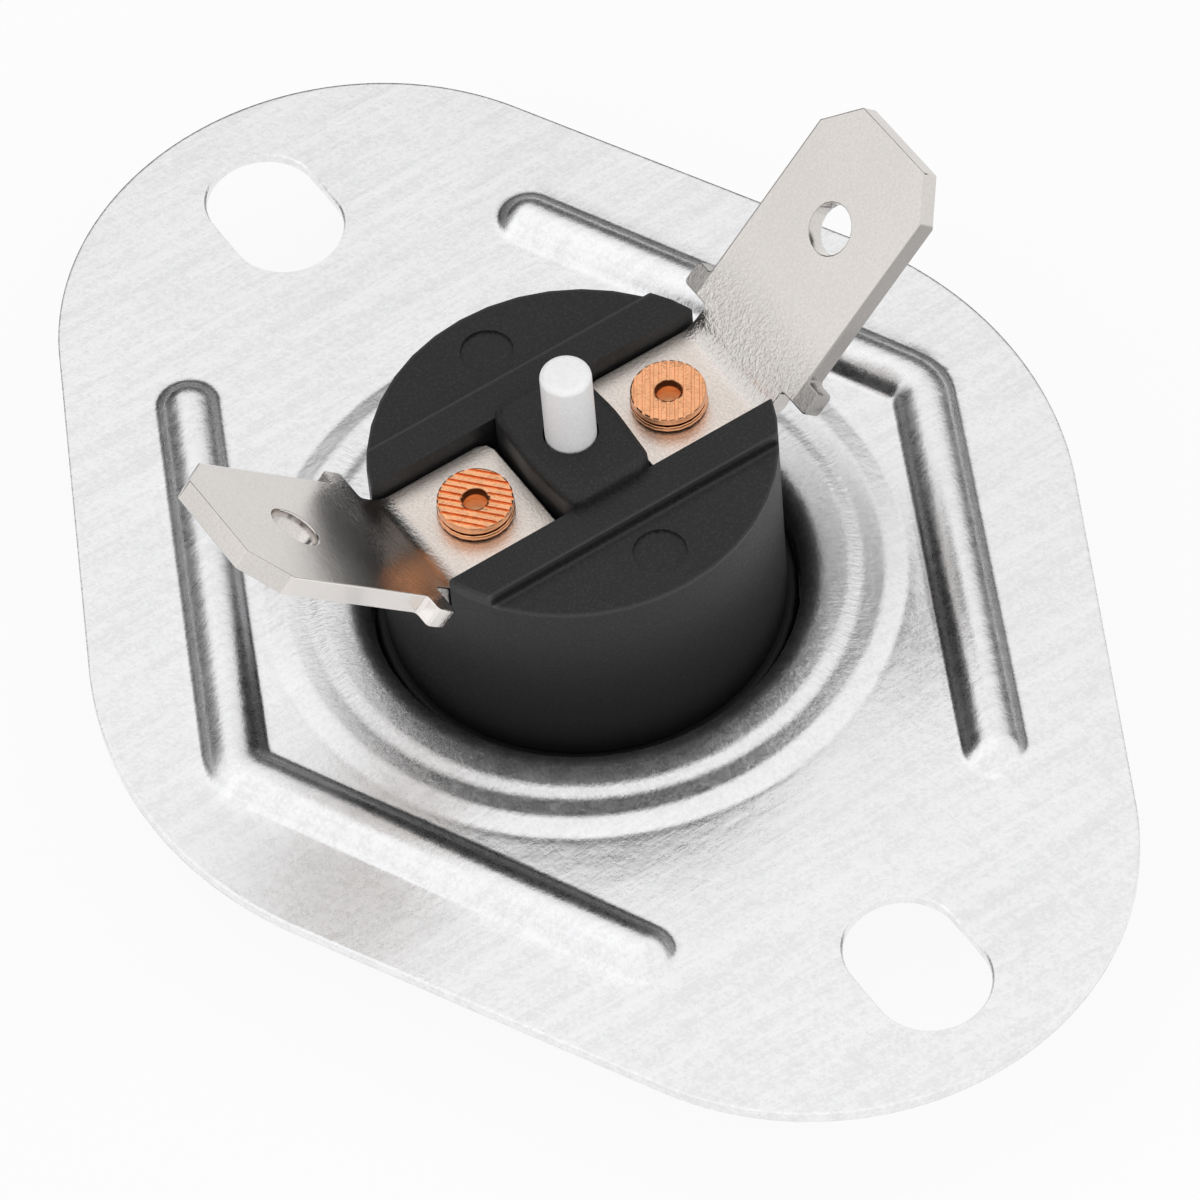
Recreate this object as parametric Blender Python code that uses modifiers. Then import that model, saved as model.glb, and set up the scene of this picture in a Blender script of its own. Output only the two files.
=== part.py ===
"""Rollout limit switch: a manual-reset snap-disc thermostat riveted up in a pressed aluminium flange.

X runs along the flange through both slots, Y through both terminals, and Z points from the sensing
face up to the terminals. The origin is the middle of the sensing face, under the cup. Metres.
"""
import math

import bmesh
import bpy
from mathutils import Vector

# Clearances
SEAT = 0.0001               # between pieces that lie on each other
FIT = 0.0001                # round a piece that sits in another
RUNNING = 0.00008           # round a piece that slides in a hole

# Mounting flange
FLANGE_SHEET = 0.0005
FLANGE_HEIGHT = 0.0045      # mounting face above the sensing face
END_RADIUS = 0.0117         # rounded ends of the outline
END_OFFSET = 0.0151         # their centres from the middle
SIDE_RADIUS = 0.0156        # rounded sides of the outline
SIDE_OFFSET = 0.0034
SLOT_SPACING = 0.0430
SLOT_WIDTH = 0.0044
SLOT_LENGTH = 0.0061

# Stiffening beads, pressed up
BEAD_WIDTH = 0.0025
BEAD_HEIGHT = 0.00075
BEAD_MARGIN = 0.00015       # flat between the collar and a bead
BEAD_ANGLE = math.radians(26.0)
BEAD_REACH = 0.0154         # centre of a bead's round end, along X
BEAD_CORNER_RADIUS = 0.0015

# Stepped collar round the body, each step measured from the one inside it
LIP_HEIGHT = 0.0001
CREST_WIDTH = 0.0018        # from the neck out to the crest
CREST_HEIGHT = 0.00035
TROUGH_WIDTH = 0.0005       # from the crest out to the trough
TROUGH_HEIGHT = 0.00006
RIDGE_WIDTH = 0.00083       # from the trough out to the ridge
RIDGE_HEIGHT = 0.00030
FOOT_WIDTH = 0.0008         # from the ridge out to the flat
COLLAR_MARGIN = 0.00035     # flat that is turned with the collar
COLLAR_FILLET = 0.0005
LIP_FILLET = 0.0012
NECK_FILLET = 0.0003

# Sensing cup
CUP_SHEET = 0.0003
CUP_STEP = 0.00062          # wall above the ledge, in from the body's side
LEDGE_WIDTH = 0.0010        # wall under the ledge, in from the wall above it
LEDGE_HEIGHT = 0.0012       # top of the ledge that the disc lies on
SHOULDER_RISE = 0.0013      # shoulder that the guide lies on, above the ledge
RIM_RISE = 0.0015           # top of the rolled rim above the shoulder
CRIMP_DEPTH = 0.0004        # depth of the groove that the rim is rolled into
CUP_FILLET = 0.0002         # inside its corners

# Bimetal disc and its guide
DISC_PLAY = 0.0002          # round the disc in the cup
DISC_THICKNESS = 0.0002
DISC_DISH = 0.00035
GUIDE_FLANGE = 0.0005
GUIDE_RIM = 0.0008          # ring of the guide that keeps the disc's edge down
GUIDE_RECESS = 0.0005

# Body
BODY_HEIGHT = 0.0125        # side faces above the sensing face
BODY_WALL = 0.0012
ROOF_THICKNESS = 0.00119    # under the channel
BODY_EDGE = 0.00012
RAIL_WIDTH = 0.00152
RAIL_RISE = 0.00045         # rails above the side faces
BOSS_LAP = 0.00015          # boss onto each rail
BOSS_WIDTH = 0.0036
BOSS_BULGE = 0.0002         # crown of the boss's long sides
BOSS_CORNER = 0.0006
BOSS_RISE = 0.00065         # boss above the rails
BOSS_EDGE = 0.0004
EJECTOR_RADIUS = 0.0010
EJECTOR_DEPTH = 0.00012
EJECTOR_INSET = 0.00182     # centre of an ejector mark in from the body's side

# Terminals
TAB_THICKNESS = 0.00081
TAB_WIDTH = 0.00635
TAB_LENGTH = 0.0088         # tip above the shoulders
TAB_TIP_LENGTH = 0.00153
TAB_TIP_INSET = 0.00125
TAB_HOLE_RADIUS = 0.00098
TAB_HOLE_FROM_TIP = 0.00415
TAB_ANGLE = math.radians(45.0)
SHOULDER_STEP = 0.000725    # each shoulder beyond the blade
SHOULDER_LENGTH = 0.0010
SHOULDER_START = 0.00055    # plain strip between the bend and the shoulders
SHOULDER_CORNER = 0.00015
STRIP_WIDTH = 0.0050
STRIP_CORNER = 0.0005
STRIP_DEPTH = 0.00085       # top of the strip below the rails
BEND_INSET = 0.00122        # start of the bend in from the body's side
BEND_RADIUS = 0.0012        # inside
BEND_STEPS = 6

# Terminal rivets and washers
RIVET_MARGIN = 0.00212      # centre of a rivet from the inner end of its strip
RIVET_RADIUS = 0.00075
RIVET_HEAD_RADIUS = 0.00140
RIVET_HEAD = 0.00038
RIVET_BORE_RADIUS = 0.00046
RIVET_BORE_DEPTH = 0.0007
RIVET_EDGE = 0.00008
RIVET_TAIL_RADIUS = 0.0011
RIVET_TAIL = 0.0004
WASHER_RADIUS = 0.00144
WASHER_THICKNESS = 0.00022

# Brackets and contacts in the cavity
BRACKET_SHEET = 0.0003
BRACKET_WIDTH = 0.0030
BRACKET_REACH = 0.00178     # outer side of a leg beyond its rivet's centre
BRACKET_PLAY = 0.000135     # between a leg's corners and the cavity's wall
BRACKET_BEND = 0.0002       # inside its bends
ROOT_LAP = 0.00132          # root of a bracket past its rivet's centre
CARRIER_LAP = 0.00122       # foot of the carrier past the arm's rivet
ANVIL_LAP = 0.0011          # foot of the other bracket past the fixed contact
ARM_SHEET = 0.0002
ARM_WIDTH = 0.0024
ARM_DROP = 0.0025           # underside of the arm below the brackets' roots
ARM_TAIL = 0.0008           # arm behind its rivet
ARM_LAP = 0.0010            # arm past the contact's centre
ARM_CORNER = 0.0004
ARM_RIVET_RADIUS = 0.0004
ARM_RIVET_HEAD_RADIUS = 0.0008
ARM_RIVET_HEAD = 0.00025
ARM_RIVET_PLAY = 0.00015
CONTACT_OFFSET = 0.0037
CONTACT_RADIUS = 0.0009
CONTACT_HEAD = 0.0004
CONTACT_CROWN = 0.0001
CONTACT_SHANK_RADIUS = 0.0004
CONTACT_TAIL_RADIUS = 0.00065
CONTACT_TAIL = 0.00016

# Pins
PIN_RADIUS = 0.00095
PIN_PROUD = 0.0034          # pin above the boss
PIN_FILLET = 0.00035
PIN_COLLAR_RADIUS = 0.0016
PIN_COLLAR = 0.0005
PIN_ROOM = 0.0006           # between the pin's collar and the roof
TRANSFER_RADIUS = 0.00075
PIN_NOSE = 0.0002           # height of the rounded lower and upper ends

# Facets
TURN_STEPS = 40
SMALL_TURN_STEPS = 20
TINY_TURN_STEPS = 16
DISC_RINGS = 3
BEAD_RESOLUTION = 4
BEAD_END_STEPS = 4
BEAD_CORNER_STEP = math.radians(14.0)
BOSS_EDGE_STEPS = 3
ARC_STEP = math.radians(7.0)
FILLET_STEP = math.radians(45.0)
ANGLE_TOLERANCE = 1e-6      # keeps an arc of whole steps from gaining one
SHARP_ANGLE = math.radians(32.0)

# Levels above the sensing face
FLANGE_TOP = FLANGE_HEIGHT + FLANGE_SHEET
RAIL_TOP = BODY_HEIGHT + RAIL_RISE
BOSS_TOP = RAIL_TOP + BOSS_RISE
STRIP_TOP = RAIL_TOP - STRIP_DEPTH
CHANNEL_FLOOR = STRIP_TOP - TAB_THICKNESS - SEAT
ROOF_HEIGHT = CHANNEL_FLOOR - ROOF_THICKNESS
SHOULDER_HEIGHT = LEDGE_HEIGHT + SHOULDER_RISE
CRIMP_HEIGHT = SHOULDER_HEIGHT + RIM_RISE
DISC_BOTTOM = LEDGE_HEIGHT + SEAT
GUIDE_BOTTOM = DISC_BOTTOM + DISC_THICKNESS + SEAT
GUIDE_TOP = SHOULDER_HEIGHT + SEAT + GUIDE_FLANGE
BODY_BOTTOM = GUIDE_TOP + SEAT
NECK_FLOOR = SHOULDER_HEIGHT - CUP_SHEET - SEAT
ROOT_TOP = ROOF_HEIGHT - SEAT
ARM_HEIGHT = ROOT_TOP - ARM_DROP
ANVIL_TOP = ARM_HEIGHT - 3 * SEAT - 2 * CONTACT_HEAD
CARRIER_TOP = ARM_HEIGHT - SEAT
PIN_TOP = BOSS_TOP + PIN_PROUD
PIN_COLLAR_TOP = ROOF_HEIGHT - PIN_ROOM

# Places along the terminals, from the middle
STRIP_END = BOSS_WIDTH / 2 + BOSS_BULGE + FIT
RIVET_OFFSET = STRIP_END + RIVET_MARGIN
BRACKET_INNER = RIVET_OFFSET - ROOT_LAP
BRACKET_OUTER = RIVET_OFFSET + BRACKET_REACH
CARRIER_INNER = RIVET_OFFSET - CARRIER_LAP
ANVIL_INNER = CONTACT_OFFSET - ANVIL_LAP
ARM_REACH = CONTACT_OFFSET + ARM_LAP

# Radii and widths that mate
CAVITY_RADIUS = math.hypot(BRACKET_OUTER, BRACKET_WIDTH / 2) + BRACKET_PLAY
BODY_RADIUS = CAVITY_RADIUS + BODY_WALL
BEND_START = BODY_RADIUS - BEND_INSET
EJECTOR_OFFSET = BODY_RADIUS - EJECTOR_INSET
CRIMP_GROOVE_RADIUS = BODY_RADIUS - CRIMP_DEPTH
CUP_WALL_RADIUS = BODY_RADIUS - CUP_STEP
CUP_FLOOR_RADIUS = CUP_WALL_RADIUS - LEDGE_WIDTH
CUP_COLLAR_RADIUS = BODY_RADIUS + FIT + CUP_SHEET
DISC_RADIUS = CUP_WALL_RADIUS - CUP_SHEET - DISC_PLAY
GUIDE_RECESS_RADIUS = DISC_RADIUS - GUIDE_RIM
NECK_HOLE_RADIUS = CUP_WALL_RADIUS + FIT
NECK_RADIUS = CUP_COLLAR_RADIUS + FIT
CREST_RADIUS = NECK_RADIUS + CREST_WIDTH
TROUGH_RADIUS = CREST_RADIUS + TROUGH_WIDTH
RIDGE_RADIUS = TROUGH_RADIUS + RIDGE_WIDTH
COLLAR_FOOT_RADIUS = RIDGE_RADIUS + FOOT_WIDTH
COLLAR_OUTER_RADIUS = COLLAR_FOOT_RADIUS + COLLAR_MARGIN
BEAD_OFFSET = COLLAR_OUTER_RADIUS + BEAD_MARGIN + BEAD_WIDTH / 2
CHANNEL_WIDTH = STRIP_WIDTH + 2 * FIT
RAIL_OUTER = CHANNEL_WIDTH / 2 + RAIL_WIDTH
BOSS_LENGTH = CHANNEL_WIDTH + 2 * BOSS_LAP
SHOULDER_WIDTH = TAB_WIDTH + 2 * SHOULDER_STEP
RIVET_HOLE_RADIUS = RIVET_RADIUS + FIT
ARM_HOLE_RADIUS = ARM_RIVET_RADIUS + FIT
CONTACT_HOLE_RADIUS = CONTACT_SHANK_RADIUS + FIT
OVERCUT = 0.001             # how far a cutter runs past the face it opens


# Helpers

def new_collection(name):
    collection = bpy.data.collections.new(name)
    bpy.context.scene.collection.children.link(collection)
    return collection


def make_material(name, colour, roughness, metallic):
    material = bpy.data.materials.new(name)
    material.use_nodes = True
    shader = material.node_tree.nodes["Principled BSDF"]
    shader.inputs["Base Color"].default_value = (*colour, 1.0)
    shader.inputs["Roughness"].default_value = roughness
    shader.inputs["Metallic"].default_value = metallic
    return material


def arc(centre, radius, start, end, step=ARC_STEP):
    """Points on an arc, from angle start to angle end, both included."""
    count = max(2, math.ceil(abs(end - start) / step - ANGLE_TOLERANCE))
    angles = [start + (end - start) * i / count for i in range(count + 1)]
    return [(centre[0] + radius * math.cos(a), centre[1] + radius * math.sin(a)) for a in angles]


def rounded(corners, closed=False, step=FILLET_STEP):
    """A polyline through corners given as (u, v, radius), each corner with its radius rounded."""
    points = []
    count = len(corners)
    for i, (u, v, radius) in enumerate(corners):
        if radius == 0.0 or (not closed and i in (0, count - 1)):
            points.append((u, v))
            continue
        here = Vector((u, v))
        before = (Vector(corners[i - 1][:2]) - here).normalized()
        after = (Vector(corners[(i + 1) % count][:2]) - here).normalized()
        half = before.angle(after) / 2
        centre = here + (before + after).normalized() * radius / math.sin(half)
        first = here + before * radius / math.tan(half) - centre
        last = here + after * radius / math.tan(half) - centre
        start = math.atan2(first.y, first.x)
        sweep = math.atan2(last.y, last.x) - start
        sweep = (sweep + math.pi) % (2 * math.pi) - math.pi
        points += arc(centre, radius, start, start + sweep, step)
    return points


def link_object(name, mesh, collection):
    obj = bpy.data.objects.new(name, mesh)
    collection.objects.link(obj)
    return obj


def mesh_from(bm, name):
    mesh = bpy.data.meshes.new(name)
    bm.to_mesh(mesh)
    bm.free()
    return mesh


def add_loop(bm, points, height=0.0):
    """A closed loop of edges through 2D points, at one height."""
    verts = [bm.verts.new((x, y, height)) for x, y in points]
    return [bm.edges.new((verts[i - 1], verts[i])) for i in range(len(verts))]


def turned(name, collection, profile, closed=False, steps=TURN_STEPS):
    """A profile of (radius, height) points turned about Z; it runs down the outer side."""
    bm = bmesh.new()
    verts = [bm.verts.new((radius, 0.0, height)) for radius, height in profile]
    for first, second in zip(verts, verts[1:]):
        bm.edges.new((first, second))
    if closed:
        bm.edges.new((verts[-1], verts[0]))
    obj = link_object(name, mesh_from(bm, name), collection)
    screw = obj.modifiers.new("Turn", 'SCREW')
    screw.axis = 'Z'
    screw.steps = steps
    screw.render_steps = steps
    screw.use_merge_vertices = True
    screw.merge_threshold = 1e-6
    return obj


def disc_points(radius, centre=(0.0, 0.0), steps=SMALL_TURN_STEPS):
    angles = [2 * math.pi * i / steps for i in range(steps)]
    return [(centre[0] + radius * math.cos(a), centre[1] + radius * math.sin(a)) for a in angles]


def extruded(name, collection, loops, bottom, top):
    """A flat outline, with any inner loops as holes, extruded from bottom to top."""
    bm = bmesh.new()
    for points in loops:
        add_loop(bm, points, bottom)
    if len(loops) == 1:
        bmesh.ops.edgeloop_fill(bm, edges=bm.edges[:])
    else:
        bmesh.ops.triangle_fill(bm, use_beauty=True, edges=bm.edges[:])
    grown = bmesh.ops.extrude_face_region(bm, geom=bm.faces[:])
    lifted = [item for item in grown["geom"] if isinstance(item, bmesh.types.BMVert)]
    bmesh.ops.translate(bm, verts=lifted, vec=(0.0, 0.0, top - bottom))
    bmesh.ops.recalc_face_normals(bm, faces=bm.faces[:])
    return link_object(name, mesh_from(bm, name), collection)


def box(name, collection, low, high):
    bm = bmesh.new()
    bmesh.ops.create_cube(bm, size=1.0)
    size = Vector(high) - Vector(low)
    bmesh.ops.scale(bm, verts=bm.verts[:], vec=size)
    bmesh.ops.translate(bm, verts=bm.verts[:], vec=(Vector(low) + Vector(high)) / 2)
    return link_object(name, mesh_from(bm, name), collection)


def cylinder(name, collection, radius, bottom, top, centre=(0.0, 0.0), steps=SMALL_TURN_STEPS):
    return extruded(name, collection, [disc_points(radius, centre, steps)], bottom, top)


def combine(obj, other, operation):
    """Boolean with a cutter that stays in the file, unrendered."""
    boolean = obj.modifiers.new(other.name, 'BOOLEAN')
    boolean.operation = operation
    boolean.solver = 'EXACT'
    boolean.object = other
    other.hide_render = True
    other.display_type = 'WIRE'


def finish(obj, material):
    """Keep the evaluated mesh, with its round faces smooth and its corners sharp."""
    bpy.context.view_layer.update()
    evaluated = obj.evaluated_get(bpy.context.evaluated_depsgraph_get())
    mesh = bpy.data.meshes.new_from_object(evaluated)
    obj.modifiers.clear()
    obj.data = mesh
    mesh.name = obj.name
    mesh.shade_smooth()
    mesh.set_sharp_from_angle(angle=SHARP_ANGLE)
    mesh.materials.clear()
    mesh.materials.append(material)
    return obj


def bent_strip(name, collection, path, width, thickness):
    """A strip of sheet bent along a path of (y, z) points, which runs along the outside of its bends."""
    bm = bmesh.new()
    verts = [bm.verts.new((-width / 2, y, z)) for y, z in path]
    edges = [bm.edges.new(pair) for pair in zip(verts, verts[1:])]
    grown = bmesh.ops.extrude_edge_only(bm, edges=edges)
    moved = [item for item in grown["geom"] if isinstance(item, bmesh.types.BMVert)]
    bmesh.ops.translate(bm, verts=moved, vec=(width, 0.0, 0.0))
    bmesh.ops.recalc_face_normals(bm, faces=bm.faces[:])
    root = max(bm.faces, key=lambda face: face.calc_center_median().z)
    if root.normal.z > 0.0:
        bmesh.ops.reverse_faces(bm, faces=bm.faces[:])
    obj = link_object(name, mesh_from(bm, name), collection)
    solidify = obj.modifiers.new("Thickness", 'SOLIDIFY')
    solidify.thickness = thickness
    solidify.offset = 1.0
    solidify.use_even_offset = True
    return obj


# Mounting flange

def flange_outline():
    """Four arcs joined by their common tangents."""
    reach = math.hypot(END_OFFSET, SIDE_OFFSET)
    turn = math.acos((SIDE_RADIUS - END_RADIUS) / reach) - math.atan2(SIDE_OFFSET, END_OFFSET)
    points = arc((END_OFFSET, 0.0), END_RADIUS, -turn, turn)
    points += arc((0.0, SIDE_OFFSET), SIDE_RADIUS, turn, math.pi - turn)
    points += arc((-END_OFFSET, 0.0), END_RADIUS, math.pi - turn, math.pi + turn)
    points += arc((0.0, -SIDE_OFFSET), SIDE_RADIUS, math.pi + turn, 2 * math.pi - turn)
    return points


def slot_outline(side):
    centre = side * SLOT_SPACING / 2
    reach = (SLOT_LENGTH - SLOT_WIDTH) / 2
    points = arc((centre + reach, 0.0), SLOT_WIDTH / 2, -math.pi / 2, math.pi / 2)
    points += arc((centre - reach, 0.0), SLOT_WIDTH / 2, math.pi / 2, 3 * math.pi / 2)
    return points


def collar_profile():
    """Upper face of the collar and neck, from the flat of the flange in to the neck's hole."""
    return rounded([
        (COLLAR_OUTER_RADIUS, FLANGE_TOP, 0.0),
        (COLLAR_FOOT_RADIUS, FLANGE_TOP, COLLAR_FILLET),
        (RIDGE_RADIUS, FLANGE_TOP + RIDGE_HEIGHT, COLLAR_FILLET),
        (TROUGH_RADIUS, FLANGE_TOP + TROUGH_HEIGHT, COLLAR_FILLET),
        (CREST_RADIUS, FLANGE_TOP + CREST_HEIGHT, COLLAR_FILLET),
        (NECK_RADIUS, FLANGE_TOP + LIP_HEIGHT, LIP_FILLET),
        (NECK_RADIUS, NECK_FLOOR, NECK_FILLET),
        (NECK_HOLE_RADIUS, NECK_FLOOR, 0.0),
    ])


def flange_sheet(collection):
    """The pressed sheet without its beads: a flat with its slots, and the turned collar and neck."""
    bm = bmesh.new()
    add_loop(bm, flange_outline(), FLANGE_TOP)
    for side in (-1, 1):
        add_loop(bm, slot_outline(side), FLANGE_TOP)
    add_loop(bm, disc_points(COLLAR_OUTER_RADIUS, steps=TURN_STEPS), FLANGE_TOP)
    bmesh.ops.triangle_fill(bm, use_beauty=True, edges=bm.edges[:])
    verts = [bm.verts.new((radius, 0.0, height)) for radius, height in collar_profile()]
    edges = [bm.edges.new(pair) for pair in zip(verts, verts[1:])]
    bmesh.ops.spin(bm, geom=verts + edges, cent=(0.0, 0.0, 0.0), axis=(0.0, 0.0, 1.0),
                   angle=2 * math.pi, steps=TURN_STEPS, use_merge=True)
    bmesh.ops.remove_doubles(bm, verts=bm.verts[:], dist=1e-6)
    bmesh.ops.recalc_face_normals(bm, faces=bm.faces[:])
    flat = max(bm.faces, key=lambda face: face.calc_center_median().x)
    if flat.normal.z < 0.0:
        bmesh.ops.reverse_faces(bm, faces=bm.faces[:])
    obj = link_object("mounting_flange", mesh_from(bm, "mounting_flange"), collection)
    solidify = obj.modifiers.new("Sheet", 'SOLIDIFY')
    solidify.thickness = FLANGE_SHEET
    solidify.offset = -1.0
    solidify.use_even_offset = True
    return obj


def bead_path(side):
    corner = BEAD_OFFSET / math.cos(BEAD_ANGLE)
    end = corner - BEAD_REACH * math.tan(BEAD_ANGLE)
    corners = [(-BEAD_REACH, end, 0.0), (0.0, corner, BEAD_CORNER_RADIUS), (BEAD_REACH, end, 0.0)]
    path = rounded(corners, step=BEAD_CORNER_STEP)
    return [Vector((side * x, side * y, 0.0)) for x, y in path]


def bead_tube(name, collection, side, radius, centre_height):
    """A tube with round ends along a bead; its top is the face of the bead."""
    path = bead_path(side)
    rings = [(point, 1.0) for point in path]
    turns = [math.pi / 2 * i / (BEAD_END_STEPS + 0.5) for i in range(1, BEAD_END_STEPS + 1)]
    for end, inner in ((0, 1), (-1, -2)):
        outward = (path[end] - path[inner]).normalized()
        cap = [(path[end] + outward * radius * math.sin(a), math.cos(a)) for a in turns]
        rings = cap[::-1] + rings if end == 0 else rings + cap
    curve = bpy.data.curves.new(name, 'CURVE')
    curve.dimensions = '3D'
    curve.bevel_depth = radius
    curve.bevel_resolution = BEAD_RESOLUTION
    curve.use_fill_caps = True
    spline = curve.splines.new('POLY')
    spline.points.add(len(rings) - 1)
    for point, (place, factor) in zip(spline.points, rings):
        point.co = (place.x, place.y, centre_height, 1.0)
        point.radius = factor
    wire = link_object(name, curve, collection)
    bpy.context.view_layer.update()
    mesh = bpy.data.meshes.new_from_object(wire.evaluated_get(bpy.context.evaluated_depsgraph_get()))
    bpy.data.objects.remove(wire)
    bpy.data.curves.remove(curve)
    bm = bmesh.new()
    bm.from_mesh(mesh)
    bmesh.ops.remove_doubles(bm, verts=bm.verts[:], dist=1e-6)
    bmesh.ops.recalc_face_normals(bm, faces=bm.faces[:])
    bm.to_mesh(mesh)
    bm.free()
    mesh.name = name
    return link_object(name, mesh, collection)


def keep_above(obj, height):
    """Cut a closed mesh off level, keep what is above and close it."""
    bm = bmesh.new()
    bm.from_mesh(obj.data)
    bmesh.ops.bisect_plane(bm, geom=bm.verts[:] + bm.edges[:] + bm.faces[:], plane_co=(0.0, 0.0, height),
                           plane_no=(0.0, 0.0, 1.0), clear_inner=True)
    bmesh.ops.holes_fill(bm, edges=[edge for edge in bm.edges if edge.is_boundary])
    bmesh.ops.recalc_face_normals(bm, faces=bm.faces[:])
    bm.to_mesh(obj.data)
    bm.free()


def mounting_flange(parts, cutters, material):
    """The pressed flange, with a bead pressed up on each side of the body."""
    flange = flange_sheet(parts)
    radius = (BEAD_WIDTH ** 2 / 4 + BEAD_HEIGHT ** 2) / (2 * BEAD_HEIGHT)
    centre_height = FLANGE_TOP + BEAD_HEIGHT - radius
    sides = (("left", -1), ("right", 1))
    for label, side in sides:
        ridge = bead_tube("bead_" + label, cutters, side, radius, centre_height)
        keep_above(ridge, FLANGE_TOP - FLANGE_SHEET / 2)
        combine(flange, ridge, 'UNION')
    for label, side in sides:
        groove = bead_tube("bead_hollow_" + label, cutters, side, radius - FLANGE_SHEET, centre_height)
        combine(flange, groove, 'DIFFERENCE')
    return finish(flange, material)


# Sensing cup, disc, guide and transfer pin

def sensing_cup(parts, material):
    """Drawn cup: a floor, a ledge for the disc, a shoulder for the guide and a rolled rim."""
    inside = CUP_FILLET
    outside = CUP_FILLET + CUP_SHEET
    floor_inner = CUP_FLOOR_RADIUS - CUP_SHEET
    wall_inner = CUP_WALL_RADIUS - CUP_SHEET
    collar_inner = CUP_COLLAR_RADIUS - CUP_SHEET
    rim_inner = CRIMP_GROOVE_RADIUS + FIT
    profile = rounded([
        (0.0, CUP_SHEET, 0.0),
        (floor_inner, CUP_SHEET, inside),
        (floor_inner, LEDGE_HEIGHT, outside),
        (wall_inner, LEDGE_HEIGHT, 0.0),
        (wall_inner, SHOULDER_HEIGHT, 0.0),
        (collar_inner, SHOULDER_HEIGHT, 0.0),
        (collar_inner, CRIMP_HEIGHT - CUP_SHEET, 0.0),
        (rim_inner, CRIMP_HEIGHT - CUP_SHEET, 0.0),
        (rim_inner, CRIMP_HEIGHT, 0.0),
        (CUP_COLLAR_RADIUS, CRIMP_HEIGHT, CUP_SHEET),
        (CUP_COLLAR_RADIUS, SHOULDER_HEIGHT - CUP_SHEET, outside),
        (CUP_WALL_RADIUS, SHOULDER_HEIGHT - CUP_SHEET, 0.0),
        (CUP_WALL_RADIUS, LEDGE_HEIGHT - CUP_SHEET, outside),
        (CUP_FLOOR_RADIUS, LEDGE_HEIGHT - CUP_SHEET, inside),
        (CUP_FLOOR_RADIUS, 0.0, outside),
        (0.0, 0.0, 0.0),
    ])
    return finish(turned("sensing_cup", parts, profile), material)


def bimetal_disc(parts, material):
    """Snap disc, dished down in the middle as it is when the switch is closed."""
    radii = [DISC_RADIUS * i / DISC_RINGS for i in range(DISC_RINGS + 1)]
    sag = [DISC_DISH * (1.0 - (radius / DISC_RADIUS) ** 2) for radius in radii]
    top = [(radius, DISC_BOTTOM + DISC_THICKNESS - drop) for radius, drop in zip(radii, sag)]
    bottom = [(radius, height - DISC_THICKNESS) for radius, height in top]
    return finish(turned("bimetal_disc", parts, top + bottom[::-1]), material)


def disc_guide(parts, material):
    """Moulded plate that covers the disc and guides the transfer pin."""
    hole = TRANSFER_RADIUS + RUNNING
    flange = BODY_RADIUS - FIT
    spigot = CUP_WALL_RADIUS - CUP_SHEET - FIT
    seat = SHOULDER_HEIGHT + SEAT
    profile = [
        (hole, GUIDE_TOP),
        (flange, GUIDE_TOP),
        (flange, seat),
        (spigot, seat),
        (spigot, GUIDE_BOTTOM),
        (GUIDE_RECESS_RADIUS, GUIDE_BOTTOM),
        (GUIDE_RECESS_RADIUS, GUIDE_BOTTOM + GUIDE_RECESS),
        (hole, GUIDE_BOTTOM + GUIDE_RECESS),
    ]
    return finish(turned("disc_guide", parts, profile, closed=True), material)


def transfer_pin(parts, material):
    bottom = DISC_BOTTOM + DISC_THICKNESS - DISC_DISH + SEAT
    top = ARM_HEIGHT - SEAT
    profile = rounded([
        (0.0, top, 0.0),
        (TRANSFER_RADIUS, top, PIN_NOSE),
        (TRANSFER_RADIUS, bottom, PIN_NOSE),
        (0.0, bottom, 0.0),
    ])
    return finish(turned("transfer_pin", parts, profile, steps=SMALL_TURN_STEPS), material)


# Body

def boss_outline():
    """Rounded rectangle whose long sides are slightly crowned."""
    x = BOSS_LENGTH / 2
    y = BOSS_WIDTH / 2
    crown = y + BOSS_BULGE
    return rounded([
        (x, -y, BOSS_CORNER), (x, y, BOSS_CORNER), (0.0, crown, BOSS_LENGTH),
        (-x, y, BOSS_CORNER), (-x, -y, BOSS_CORNER), (0.0, -crown, BOSS_LENGTH),
    ], closed=True)


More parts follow.
